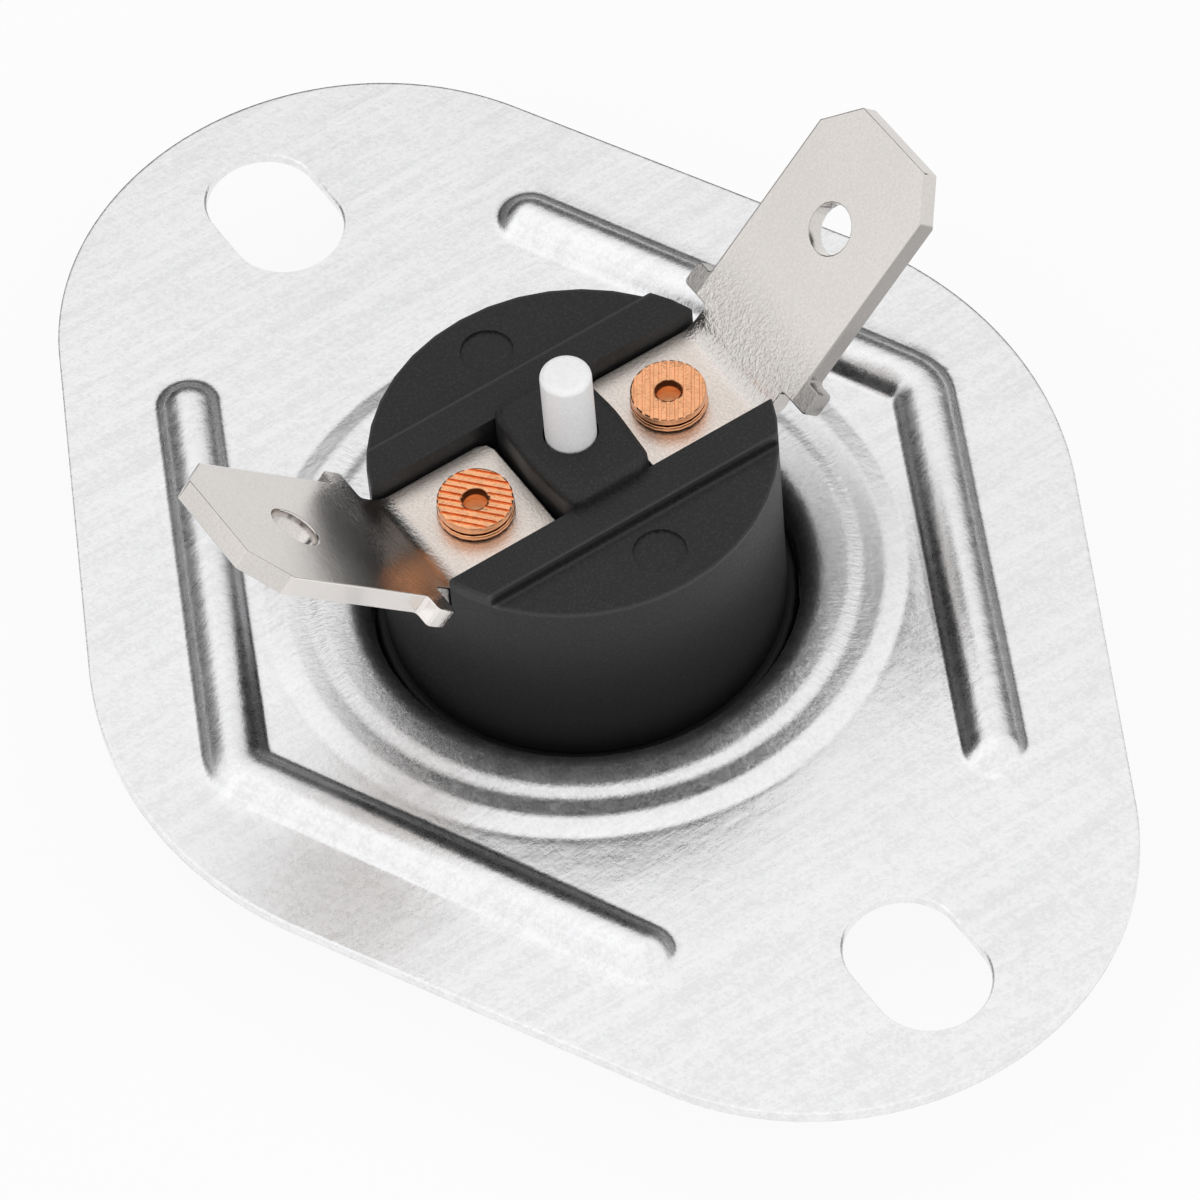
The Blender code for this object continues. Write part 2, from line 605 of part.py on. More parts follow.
def switch_body(parts, cutters, material):
    """Moulded body: turned outside and cavity, two rails, a channel and a boss across them."""
    profile = rounded([
        (0.0, RAIL_TOP, 0.0),
        (BODY_RADIUS, RAIL_TOP, BODY_EDGE),
        (BODY_RADIUS, CRIMP_HEIGHT + SEAT, 0.0),
        (CRIMP_GROOVE_RADIUS, CRIMP_HEIGHT + SEAT, 0.0),
        (CRIMP_GROOVE_RADIUS, CRIMP_HEIGHT - CUP_SHEET - SEAT, 0.0),
        (BODY_RADIUS, CRIMP_HEIGHT - CUP_SHEET - SEAT, 0.0),
        (BODY_RADIUS, BODY_BOTTOM, 0.0),
        (CAVITY_RADIUS, BODY_BOTTOM, 0.0),
        (CAVITY_RADIUS, ROOF_HEIGHT, 0.0),
        (0.0, ROOF_HEIGHT, 0.0),
    ])
    body = turned("switch_body", parts, profile)
    clear = BODY_RADIUS + OVERCUT
    above = BOSS_TOP + OVERCUT
    half = CHANNEL_WIDTH / 2
    channel = box("channel", cutters, (-half, -clear, CHANNEL_FLOOR), (half, clear, above))
    combine(body, channel, 'DIFFERENCE')
    for label, side in (("left", -1), ("right", 1)):
        low, high = sorted((side * RAIL_OUTER, side * clear))
        face = box("side_face_" + label, cutters, (low, -clear, BODY_HEIGHT), (high, clear, above))
        combine(body, face, 'DIFFERENCE')
    boss = extruded("boss", cutters, [boss_outline()], CHANNEL_FLOOR - BOSS_RISE, BOSS_TOP)
    edge = boss.modifiers.new("Edge", 'BEVEL')
    edge.width = BOSS_EDGE
    edge.segments = BOSS_EDGE_STEPS
    edge.limit_method = 'ANGLE'
    edge.angle_limit = math.radians(60.0)
    combine(body, boss, 'UNION')
    bore = cylinder("pin_hole", cutters, PIN_RADIUS + RUNNING, ROOF_HEIGHT - OVERCUT, above)
    combine(body, bore, 'DIFFERENCE')
    for label, side in (("left", -1), ("right", 1)):
        hole = cylinder("rivet_hole_" + label, cutters, RIVET_HOLE_RADIUS, ROOF_HEIGHT - OVERCUT, above,
                        (0.0, side * RIVET_OFFSET))
        combine(body, hole, 'DIFFERENCE')
        mark = cylinder("ejector_mark_" + label, cutters, EJECTOR_RADIUS, BODY_HEIGHT - EJECTOR_DEPTH, above,
                        (side * EJECTOR_OFFSET, 0.0))
        combine(body, mark, 'DIFFERENCE')
    return finish(body, material)


# Terminals, rivets and washers

def terminal(name, collection, turn, material):
    """A flat blank with its outline and holes, bent up at 45 degrees; turn puts it on its side."""
    neutral = BEND_RADIUS + TAB_THICKNESS / 2
    bend_start = BEND_START - STRIP_END
    bend_end = bend_start + neutral * TAB_ANGLE
    shoulder = bend_end + SHOULDER_START
    blade = shoulder + SHOULDER_LENGTH
    tip = blade + TAB_LENGTH
    strip_half = STRIP_WIDTH / 2
    shoulder_half = SHOULDER_WIDTH / 2
    tab_half = TAB_WIDTH / 2
    corner = SHOULDER_CORNER
    side = [
        (strip_half, 0.0, STRIP_CORNER),
        (strip_half, shoulder, corner),
        (shoulder_half, shoulder, corner),
        (shoulder_half, blade, corner),
        (tab_half, blade, corner),
        (tab_half, tip - TAB_TIP_LENGTH, 0.0),
        (tab_half - TAB_TIP_INSET, tip, 0.0),
    ]
    outline = rounded(side + [(-x, s, radius) for x, s, radius in reversed(side)], closed=True)
    bm = bmesh.new()
    add_loop(bm, outline)
    add_loop(bm, disc_points(RIVET_HOLE_RADIUS, (0.0, RIVET_OFFSET - STRIP_END)))
    add_loop(bm, disc_points(TAB_HOLE_RADIUS, (0.0, tip - TAB_HOLE_FROM_TIP)))
    bmesh.ops.triangle_fill(bm, use_beauty=True, edges=bm.edges[:])
    for i in range(BEND_STEPS + 1):
        cut = bend_start + (bend_end - bend_start) * i / BEND_STEPS
        bmesh.ops.bisect_plane(bm, geom=bm.verts[:] + bm.edges[:] + bm.faces[:], dist=1e-7,
                               plane_co=(0.0, cut, 0.0), plane_no=(0.0, 1.0, 0.0))
    grown = bmesh.ops.extrude_face_region(bm, geom=bm.faces[:])
    lowered = [item for item in grown["geom"] if isinstance(item, bmesh.types.BMVert)]
    bmesh.ops.translate(bm, verts=lowered, vec=(0.0, 0.0, -TAB_THICKNESS))
    bmesh.ops.recalc_face_normals(bm, faces=bm.faces[:])
    for vert in bm.verts:
        s, depth = vert.co.y, -vert.co.z
        angle = min(max((s - bend_start) / neutral, 0.0), TAB_ANGLE)
        flat = min(s, bend_start)
        beyond = max(s - bend_end, 0.0)
        radius = BEND_RADIUS + depth
        vert.co.y = STRIP_END + flat + radius * math.sin(angle) + beyond * math.cos(angle)
        vert.co.z = STRIP_TOP + BEND_RADIUS - radius * math.cos(angle) + beyond * math.sin(angle)
    obj = link_object(name, mesh_from(bm, name), collection)
    obj.rotation_euler = (0.0, 0.0, turn)
    return finish(obj, material)


def terminal_rivet(name, collection, side, material):
    """Semi-tubular rivet: a drilled head over the washer and a tail under the bracket's root."""
    head_bottom = STRIP_TOP + WASHER_THICKNESS + 2 * SEAT
    head_top = head_bottom + RIVET_HEAD
    tail_top = ROOT_TOP - BRACKET_SHEET - SEAT
    tail_bottom = tail_top - RIVET_TAIL
    profile = rounded([
        (0.0, head_top - RIVET_BORE_DEPTH, 0.0),
        (RIVET_BORE_RADIUS, head_top - RIVET_BORE_DEPTH, 0.0),
        (RIVET_BORE_RADIUS, head_top, RIVET_EDGE),
        (RIVET_HEAD_RADIUS, head_top, RIVET_EDGE),
        (RIVET_HEAD_RADIUS, head_bottom, 0.0),
        (RIVET_RADIUS, head_bottom, 0.0),
        (RIVET_RADIUS, tail_top, 0.0),
        (RIVET_TAIL_RADIUS, tail_top, 0.0),
        (RIVET_TAIL_RADIUS, tail_bottom, RIVET_EDGE),
        (0.0, tail_bottom, 0.0),
    ])
    rivet = turned(name, collection, profile, steps=SMALL_TURN_STEPS)
    rivet.location = (0.0, side * RIVET_OFFSET, 0.0)
    return finish(rivet, material)


def rivet_washer(name, collection, side, material):
    bottom = STRIP_TOP + SEAT
    top = bottom + WASHER_THICKNESS
    inner = RIVET_HOLE_RADIUS
    profile = [(inner, top), (WASHER_RADIUS, top), (WASHER_RADIUS, bottom), (inner, bottom)]
    washer = turned(name, collection, profile, closed=True, steps=SMALL_TURN_STEPS)
    washer.location = (0.0, side * RIVET_OFFSET, 0.0)
    return finish(washer, material)


# Contact brackets, arm and contacts

def bracket(name, parts, cutters, turn, foot_top, foot_inner, hole, material):
    """Root under the roof, leg down, and a foot with its own hole; turn puts it on its side."""
    foot = foot_top - BRACKET_SHEET
    bend = BRACKET_SHEET + BRACKET_BEND
    path = rounded([
        (BRACKET_INNER, ROOT_TOP, 0.0),
        (BRACKET_OUTER, ROOT_TOP, bend),
        (BRACKET_OUTER, foot, bend),
        (foot_inner, foot, 0.0),
    ])
    strip = bent_strip(name, parts, path, BRACKET_WIDTH, BRACKET_SHEET)
    place, radius = hole
    root_hole = cylinder(name + "_root_hole", cutters, RIVET_HOLE_RADIUS, ROOT_TOP - BRACKET_SHEET - SEAT,
                         ROOT_TOP + SEAT, (0.0, RIVET_OFFSET))
    foot_hole = cylinder(name + "_foot_hole", cutters, radius, foot - SEAT, foot_top + SEAT, (0.0, place),
                         steps=TINY_TURN_STEPS)
    combine(strip, root_hole, 'DIFFERENCE')
    combine(strip, foot_hole, 'DIFFERENCE')
    finish(strip, material)
    strip.rotation_euler = (0.0, 0.0, turn)
    return strip


def contact_arm(parts, hinge, material):
    """Flat spring strip that starts at its rivet and carries the moving contact at its other end."""
    x = ARM_WIDTH / 2
    end = RIVET_OFFSET + ARM_REACH
    corners = [(x, -ARM_TAIL), (x, end), (-x, end), (-x, -ARM_TAIL)]
    outline = rounded([(u, v, ARM_CORNER) for u, v in corners], closed=True)
    rivet_hole = disc_points(ARM_HOLE_RADIUS, (0.0, 0.0), TINY_TURN_STEPS)
    contact_hole = disc_points(CONTACT_HOLE_RADIUS, (0.0, RIVET_OFFSET + CONTACT_OFFSET), TINY_TURN_STEPS)
    half = ARM_SHEET / 2
    arm = extruded("contact_arm", parts, [outline, rivet_hole, contact_hole], -half, half)
    arm.parent = hinge
    return finish(arm, material)


def arm_rivet(parts, material):
    """Small rivet that clamps the arm on its carrier, with room for the arm to lift."""
    head_bottom = ARM_HEIGHT + ARM_SHEET + ARM_RIVET_PLAY
    tail_top = CARRIER_TOP - BRACKET_SHEET - SEAT
    profile = [
        (0.0, head_bottom + ARM_RIVET_HEAD),
        (ARM_RIVET_HEAD_RADIUS, head_bottom + ARM_RIVET_HEAD),
        (ARM_RIVET_HEAD_RADIUS, head_bottom),
        (ARM_RIVET_RADIUS, head_bottom),
        (ARM_RIVET_RADIUS, tail_top),
        (ARM_RIVET_HEAD_RADIUS, tail_top),
        (ARM_RIVET_HEAD_RADIUS, tail_top - ARM_RIVET_HEAD),
        (0.0, tail_top - ARM_RIVET_HEAD),
    ]
    rivet = turned("arm_rivet", parts, profile, steps=TINY_TURN_STEPS)
    rivet.location = (0.0, -RIVET_OFFSET, 0.0)
    return finish(rivet, material)


def contact(name, parts, sheet, material):
    """Contact rivet, face up, whose head rests a seat's gap above height 0."""
    tail_top = -sheet - SEAT
    top = SEAT + CONTACT_HEAD
    profile = [
        (0.0, top),
        (CONTACT_RADIUS / 2, top - CONTACT_CROWN / 4),
        (CONTACT_RADIUS, top - CONTACT_CROWN),
        (CONTACT_RADIUS, SEAT),
        (CONTACT_SHANK_RADIUS, SEAT),
        (CONTACT_SHANK_RADIUS, tail_top),
        (CONTACT_TAIL_RADIUS, tail_top),
        (CONTACT_TAIL_RADIUS, tail_top - CONTACT_TAIL),
        (0.0, tail_top - CONTACT_TAIL),
    ]
    return finish(turned(name, parts, profile, steps=TINY_TURN_STEPS), material)


def reset_pin(parts, material):
    """Round pin through the boss, with a collar under the roof that keeps it in."""
    collar_bottom = PIN_COLLAR_TOP - PIN_COLLAR
    bottom = ARM_HEIGHT + ARM_SHEET + SEAT
    profile = rounded([
        (0.0, PIN_TOP, 0.0),
        (PIN_RADIUS, PIN_TOP, PIN_FILLET),
        (PIN_RADIUS, PIN_COLLAR_TOP, 0.0),
        (PIN_COLLAR_RADIUS, PIN_COLLAR_TOP, 0.0),
        (PIN_COLLAR_RADIUS, collar_bottom, 0.0),
        (PIN_RADIUS, collar_bottom, 0.0),
        (PIN_RADIUS, bottom, PIN_FILLET),
        (0.0, bottom, 0.0),
    ])
    return finish(turned("reset_pin", parts, profile, steps=SMALL_TURN_STEPS), material)


def main():
    for obj in list(bpy.data.objects):
        bpy.data.objects.remove(obj)
    parts = new_collection("rollout_limit_switch")
    cutters = new_collection("cutters")

    aluminium = make_material("flange_aluminium", (0.84, 0.84, 0.85), 0.38, 1.0)
    cup_aluminium = make_material("cup_aluminium", (0.80, 0.80, 0.81), 0.30, 1.0)
    phenolic = make_material("black_phenolic", (0.028, 0.028, 0.029), 0.55, 0.0)
    guide_phenolic = make_material("brown_phenolic", (0.16, 0.08, 0.04), 0.6, 0.0)
    plated = make_material("nickel_plate", (0.72, 0.68, 0.64), 0.25, 1.0)
    copper = make_material("copper", (0.86, 0.42, 0.24), 0.35, 1.0)
    brass = make_material("brass", (0.78, 0.60, 0.30), 0.3, 1.0)
    spring = make_material("spring_alloy", (0.80, 0.55, 0.36), 0.3, 1.0)
    silver = make_material("silver", (0.90, 0.90, 0.88), 0.3, 1.0)
    bimetal = make_material("bimetal", (0.55, 0.54, 0.52), 0.35, 1.0)
    ceramic = make_material("ceramic", (0.85, 0.84, 0.80), 0.5, 0.0)
    white = make_material("white_pin", (0.80, 0.80, 0.80), 0.5, 0.0)

    mounting_flange(parts, cutters, aluminium)
    sensing_cup(parts, cup_aluminium)
    bimetal_disc(parts, bimetal)
    disc_guide(parts, guide_phenolic)
    transfer_pin(parts, ceramic)
    switch_body(parts, cutters, phenolic)

    for label, side, turn in (("left", -1, math.pi), ("right", 1, 0.0)):
        terminal("terminal_" + label, parts, turn, plated)
        terminal_rivet("terminal_rivet_" + label, parts, side, copper)
        rivet_washer("rivet_washer_" + label, parts, side, copper)

    arm_hole = (RIVET_OFFSET, ARM_HOLE_RADIUS)
    bracket("arm_carrier", parts, cutters, math.pi, CARRIER_TOP, CARRIER_INNER, arm_hole, brass)
    contact_hole = (CONTACT_OFFSET, CONTACT_HOLE_RADIUS)
    bracket("fixed_contact_bracket", parts, cutters, 0.0, ANVIL_TOP, ANVIL_INNER, contact_hole, brass)
    hinge = link_object("arm_hinge", None, parts)
    hinge.location = (0.0, -RIVET_OFFSET, ARM_HEIGHT + ARM_SHEET / 2)
    contact_arm(parts, hinge, spring)
    arm_rivet(parts, brass)
    moving = contact("moving_contact", parts, ARM_SHEET, silver)
    moving.parent = hinge
    moving.rotation_euler = (math.pi, 0.0, 0.0)
    moving.location = (0.0, RIVET_OFFSET + CONTACT_OFFSET, -ARM_SHEET / 2)
    fixed = contact("fixed_contact", parts, BRACKET_SHEET, silver)
    fixed.location = (0.0, CONTACT_OFFSET, ANVIL_TOP)
    reset_pin(parts, white)


main()
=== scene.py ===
"""Finished surfaces and studio for the rollout limit switch, in metres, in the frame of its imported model.

X runs along the flange through both slots, Y through both terminals, and Z points up from the sensing face.
"""
import math

import bmesh
import bpy
from mathutils import Matrix, Vector


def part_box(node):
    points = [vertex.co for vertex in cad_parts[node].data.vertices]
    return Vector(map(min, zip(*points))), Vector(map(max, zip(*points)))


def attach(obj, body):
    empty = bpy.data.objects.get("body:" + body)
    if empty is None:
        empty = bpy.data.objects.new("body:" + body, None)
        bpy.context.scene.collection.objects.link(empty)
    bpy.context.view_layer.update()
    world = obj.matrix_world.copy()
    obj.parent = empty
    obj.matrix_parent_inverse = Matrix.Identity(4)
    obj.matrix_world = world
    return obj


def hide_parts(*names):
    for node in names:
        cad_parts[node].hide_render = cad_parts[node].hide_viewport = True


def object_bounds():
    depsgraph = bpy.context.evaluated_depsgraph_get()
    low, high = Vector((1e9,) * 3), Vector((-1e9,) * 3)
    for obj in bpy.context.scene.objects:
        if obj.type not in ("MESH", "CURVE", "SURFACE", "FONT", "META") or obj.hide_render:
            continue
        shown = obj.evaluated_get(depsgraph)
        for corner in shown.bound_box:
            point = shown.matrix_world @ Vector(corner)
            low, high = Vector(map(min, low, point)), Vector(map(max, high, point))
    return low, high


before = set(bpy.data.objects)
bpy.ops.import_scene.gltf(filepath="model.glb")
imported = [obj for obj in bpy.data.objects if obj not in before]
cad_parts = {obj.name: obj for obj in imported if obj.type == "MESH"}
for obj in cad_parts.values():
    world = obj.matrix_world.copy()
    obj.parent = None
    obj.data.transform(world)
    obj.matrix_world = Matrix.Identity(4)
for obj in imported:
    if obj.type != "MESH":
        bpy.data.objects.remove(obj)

bl_info = {
    "name": "Rollout limit switch finish",
    "version": (1, 0, 0),
    "blender": (4, 5, 0),
    "location": "3D View > Sidebar > Switch",
    "description": "Gives the packed rollout limit switch its finished surfaces, and a studio to see it in",
    "category": "Object",
}

CAD_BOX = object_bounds()
ALL_ROUND = 2.0 * math.pi
MERGE = 1e-6                        # vertices of a CAD node nearer than this are one
SPUN_MERGE = 1e-7                   # the same for a spun profile
SMOOTH_ANGLE = math.radians(50.0)   # faces that meet at less than this are shaded as one
SHEET_ANGLE = math.radians(40.0)    # the same for the flange
HEAD_ANGLE = math.radians(35.0)     # the same for the rivets
EASED_ANGLE = math.radians(60.0)    # the same for a rounded copy of a CAD node
EDGE_ANGLE = math.radians(40.0)     # a CAD node's edges above this are rounded
FLAT_ANGLE = math.radians(0.6)      # its faces that meet at less than this are joined
FLAT_PARTS = 6                      # rings of the flange's flat on either side of a bead
BEAD_PARTS = 30                     # rings across a bead
FLOOR_GAP = 0.00002                 # from the floor to the sensing face


def length(name, description, default):
    return bpy.props.FloatProperty(
        name=name, description=description, default=default, precision=5, unit='LENGTH')


def angle(name, description, degrees):
    return bpy.props.FloatProperty(
        name=name, description=description, default=math.radians(degrees), subtype='ANGLE')


def colour(name, description, default):
    return bpy.props.FloatVectorProperty(
        name=name, description=description, default=default, size=3, min=0.0, max=1.0, subtype='COLOR')


def factor(name, description, default):
    return bpy.props.FloatProperty(name=name, description=description, default=default, min=0.0, max=1.0)


def count(name, description, default):
    return bpy.props.IntProperty(name=name, description=description, default=default, min=3)


# Settings

class FlangeSettings(bpy.types.PropertyGroup):
    """Pressed mounting flange."""
    top: length("Top", "Height of the flange's upper face", 0.0050)
    sheet: length("Sheet", "Thickness of the sheet", 0.0005)
    end_radius: length("End radius", "Radius of the outline's two ends", 0.0117)
    end_offset: length("End offset", "Centre of an end from the middle", 0.0151)
    side_radius: length("Side radius", "Radius of the outline's two sides", 0.0156)
    side_offset: length("Side offset", "Centre of a side from the middle", 0.0034)
    slot_spacing: length("Slot spacing", "Distance between the slots' centres", 0.0430)
    slot_width: length("Slot width", "Width of a slot", 0.0044)
    slot_length: length("Slot length", "Length of a slot", 0.0061)
    bead_crown: length("Bead crown", "Radius of a bead's crown", 0.00125)
    bead_height: length("Bead height", "Height of a bead above the flange", 0.00075)
    bead_foot: length("Bead foot", "Radius in the foot of a bead", 0.00035)
    bead_offset: length("Bead offset", "Straight run of a bead from the middle", 0.0137)
    bead_reach: length("Bead reach", "Centre of a bead's round end along X", 0.0154)
    bead_corner: length("Bead corner", "Radius of a bead's bend", 0.0015)
    bead_angle: angle("Bead angle", "Angle of a bead's runs to X", 26.0)
    foot: length("Collar foot", "Radius where the collar starts to rise from the flat", 0.01195)
    ridge: length("Ridge", "Radius of the collar's outer ridge", 0.01115)
    ridge_height: length("Ridge height", "Height of the ridge above the flat", 0.00018)
    trough: length("Trough", "Radius of the trough inside the ridge", 0.01032)
    trough_height: length("Trough height", "Height of the trough above the flat", 0.00009)
    crest: length("Crest", "Radius of the collar's inner crest", 0.00982)
    crest_height: length("Crest height", "Height of the crest above the flat", 0.00024)
    lip_height: length("Lip height", "Height above the flat at which the lip would meet the neck", 0.00016)
    lip_fillet: length("Lip fillet", "Radius over the lip", 0.0010)
    collar_fillet: length("Collar fillet", "Radius over the crest, trough and ridge", 0.0008)
    neck: length("Neck", "Radius of the neck's wall", 0.00802)
    neck_floor: length("Neck floor", "Height of the neck's floor", 0.0021)
    neck_hole: length("Neck hole", "Radius of the hole in the neck's floor", 0.0070)
    edge: length("Edge", "Rounding of the sheared edges", 0.00007)
    steps: count("Steps", "Facets round the flange", 504)
    metal: colour("Metal", "Colour of the sheet", (0.91, 0.91, 0.92))
    roughness: factor("Roughness", "Mean roughness of the sheet", 0.28)


class BodySettings(bpy.types.PropertyGroup):
    """Moulded body."""
    edge: length("Edge", "Rounding of the moulded edges", 0.00006)
    side_top: length("Side top", "Height of the faces beside the rails", 0.0125)
    rail: length("Rail", "Outer side of a rail from the middle", 0.00412)
    painted_shade_depth: length("Shade depth", "How far down its side the moulding darkens", 0.0060)
    plastic: colour("Plastic", "Colour of the moulding", (0.014, 0.014, 0.0145))
    roughness: factor("Roughness", "Mean roughness of the moulding", 0.46)


class TerminalSettings(bpy.types.PropertyGroup):
    """Terminals with their plating."""
    edge: length("Edge", "Rounding of the sheared edges", 0.00006)
    bend: length("Bend", "Middle of the bend from the middle of the switch", 0.0068)
    plating: colour("Plating", "Colour of the plating", (0.70, 0.668, 0.64))
    # lit and shaded copies of one plating: the strips' colour is the blades' plating painted lighter and
    # warmer
    lit_strip_plating: colour("Strip plating", "Colour of the plating on the strips", (0.88, 0.795, 0.73))
    roughness: factor("Roughness", "Mean roughness of the plating", 0.16)


class RivetSettings(bpy.types.PropertyGroup):
    """Terminal rivets and their washers."""
    offset: length("Offset", "Centre of a rivet from the middle", 0.00422)
    shank: length("Shank", "Radius of the shank", 0.00075)
    head: length("Head", "Radius of the head", 0.00140)
    head_height: length("Head height", "Thickness of the head", 0.00038)
    bore: length("Bore", "Radius of the bore", 0.00046)
    bore_depth: length("Bore depth", "Depth of the bore", 0.0007)
    mouth: length("Mouth", "Rounding of the bore's mouth", 0.00016)
    tail: length("Tail", "Radius of the tail", 0.0011)
    tail_height: length("Tail height", "Thickness of the tail", 0.0004)
    edge: length("Edge", "Rounding of the edges", 0.00009)
    groove_pitch: length("Groove pitch", "Distance between the grooves across a head", 0.00030)
    groove_width: length("Groove width", "Width of a groove", 0.00009)
    groove_depth: length("Groove depth", "Depth of a groove", 0.00009)
    left_turn: angle("Left grooves", "Angle of the left rivet's grooves to X", 41.0)
    right_turn: angle("Right grooves", "Angle of the right rivet's grooves to X", -34.0)
    steps: count("Steps", "Facets round a rivet", 72)
    copper: colour("Copper", "Colour of the copper", (0.96, 0.48, 0.25))
    roughness: factor("Roughness", "Mean roughness of the copper", 0.20)


class PinSettings(bpy.types.PropertyGroup):
    """Reset pin."""
    radius: length("Radius", "Radius of the pin", 0.00095)
    edge: length("Edge", "Rounding of the pin's ends", 0.00025)
    collar: length("Collar", "Radius of the collar", 0.0016)
    collar_bottom: length("Collar bottom", "Height of the collar's underside", 0.0089)
    collar_top: length("Collar top", "Height of the collar's upper side", 0.0094)
    steps: count("Steps", "Facets round the pin", 64)
    plastic: colour("Plastic", "Colour of the pin", (0.92, 0.92, 0.925))


class InsideSettings(bpy.types.PropertyGroup):
    """Cup and the pieces inside it and the body."""
    cup: colour("Cup", "Colour of the cup", (0.82, 0.82, 0.83))
    bimetal: colour("Bimetal", "Colour of the disc", (0.55, 0.54, 0.52))
    guide: colour("Guide", "Colour of the disc guide", (0.16, 0.08, 0.04))
    ceramic: colour("Ceramic", "Colour of the transfer pin", (0.85, 0.84, 0.80))
    brass: colour("Brass", "Colour of the brackets", (0.78, 0.60, 0.30))
    spring: colour("Spring", "Colour of the contact arm", (0.80, 0.55, 0.36))
    silver: colour("Silver", "Colour of the contacts", (0.90, 0.90, 0.88))


class StudioSettings(bpy.types.PropertyGroup):
    """Floor, lamps and camera."""
    floor_radius: length("Floor radius", "Radius of the floor", 2.0)
    floor: colour("Floor", "Colour of the floor", (0.93, 0.93, 0.93))
    camera: bpy.props.FloatVectorProperty(
        name="Camera", description="Place of the camera", size=3, subtype='TRANSLATION',
        default=(0.164724, -0.092278, 0.254322))
    azimuth: angle("Azimuth", "Turn of the camera about Z", 60.596)
    elevation: angle("Elevation", "Angle that the camera looks down", 53.049)
    roll: angle("Roll", "Turn of the camera about its own axis", -5.377)
    lens: bpy.props.FloatProperty(
        name="Lens", description="Focal length for a 36 mm sensor", default=253.154, unit='CAMERA')


# Node materials

class Value:
    """An output of a node: sums and products with it add Math nodes."""

    def __init__(self, nodes, output):
        self.nodes = nodes
        self.output = output

    def math(self, operation, *values):
        return self.nodes.add("ShaderNodeMath", {"operation": operation}, values)

    def __add__(self, other):
        return self.math('ADD', self, other)

    def __radd__(self, other):
        return self.math('ADD', other, self)

    def __sub__(self, other):
        return self.math('SUBTRACT', self, other)

    def __rsub__(self, other):
        return self.math('SUBTRACT', other, self)

    def __mul__(self, other):
        return self.math('MULTIPLY', self, other)

    def __rmul__(self, other):
        return self.math('MULTIPLY', other, self)

    def __abs__(self):
        return self.math('ABSOLUTE', self)

    def between(self, low, high):
        """0 below low and 1 above high, smooth in between."""
        return self.nodes.add(
            "ShaderNodeMapRange", {"interpolation_type": 'SMOOTHSTEP'},
            {"Value": self, "From Min": low, "From Max": high})


class Nodes:
    """The nodes of one material, led by its Principled shader."""

    def __init__(self, name, metallic=0.0, specular=0.5):
        self.material = bpy.data.materials.new(name)
        self.material.use_nodes = True
        self.tree = self.material.node_tree
        self.shader = self.tree.nodes["Principled BSDF"]
        self.shader.inputs["Metallic"].default_value = metallic
        self.shader.inputs["Specular IOR Level"].default_value = specular

    def add(self, kind, settings=None, values=(), output=0):
        """One node of a kind, with its settings and the values or links of its sockets."""
        node = self.tree.nodes.new(kind)
        for key, value in (settings or {}).items():
            setattr(node, key, value)
        for key, value in values.items() if isinstance(values, dict) else enumerate(values):
            self.join(value, node.inputs[key])
        return Value(self, node.outputs[output])

    def join(self, value, socket):
        if isinstance(value, Value):
            self.tree.links.new(value.output, socket)
        else:
            socket.default_value = value

    def place(self, scale=(1.0, 1.0, 1.0), turn=0.0):
        """Object coordinates, turned about Z and stretched."""
        coordinates = self.add("ShaderNodeTexCoord", output="Object")
        return self.add(
            "ShaderNodeMapping", {"vector_type": 'POINT'},
            {"Vector": coordinates, "Rotation": (0.0, 0.0, turn), "Scale": scale})

    def along(self, axis):
        return self.add("ShaderNodeSeparateXYZ", values=[self.place()], output=axis)

    def radius(self, offset=0.0):
        """Distance from an upright line that stands at Y = offset."""
        x = self.along("X")
        y = self.along("Y") - offset
        squares = x * x + y * y
        return squares.math('SQRT', squares)

    def bearing(self):
        """Angle about Z."""
        y = self.along("Y")
        return y.math('ARCTAN2', y, self.along("X"))

    def noise(self, place, scale, detail, roughness):
        sockets = {"Vector": place, "Scale": scale, "Detail": detail, "Roughness": roughness}
        return self.add("ShaderNodeTexNoise", values=sockets, output="Fac")

    def vector(self, x, y):
        return self.add("ShaderNodeCombineXYZ", values=[x, y, 0.0])

    def mix(self, amount, first, second):
        """From colour first to colour second."""
        ends = [end if isinstance(end, Value) else (*end, 1.0) for end in (first, second)]
        return self.add("ShaderNodeMix", {"data_type": 'RGBA'}, {0: amount, 6: ends[0], 7: ends[1]}, 2)

    def surface(self, base, roughness, height=None, depth=0.0):
        """Joins the colour, the roughness and a relief depth metres high to the shader."""
        self.join(base if isinstance(base, Value) else (*base, 1.0), self.shader.inputs["Base Color"])
        self.join(roughness, self.shader.inputs["Roughness"])
        if height is not None:
            sockets = {"Strength": 1.0, "Distance": depth, "Height": height}
            bump = self.add("ShaderNodeBump", values=sockets, output="Normal")
            self.join(bump, self.shader.inputs["Normal"])
        return self.material


def shade(base, share):
    """The colour, darker or lighter by a share."""
    return tuple(min(1.0, channel * share) for channel in base)


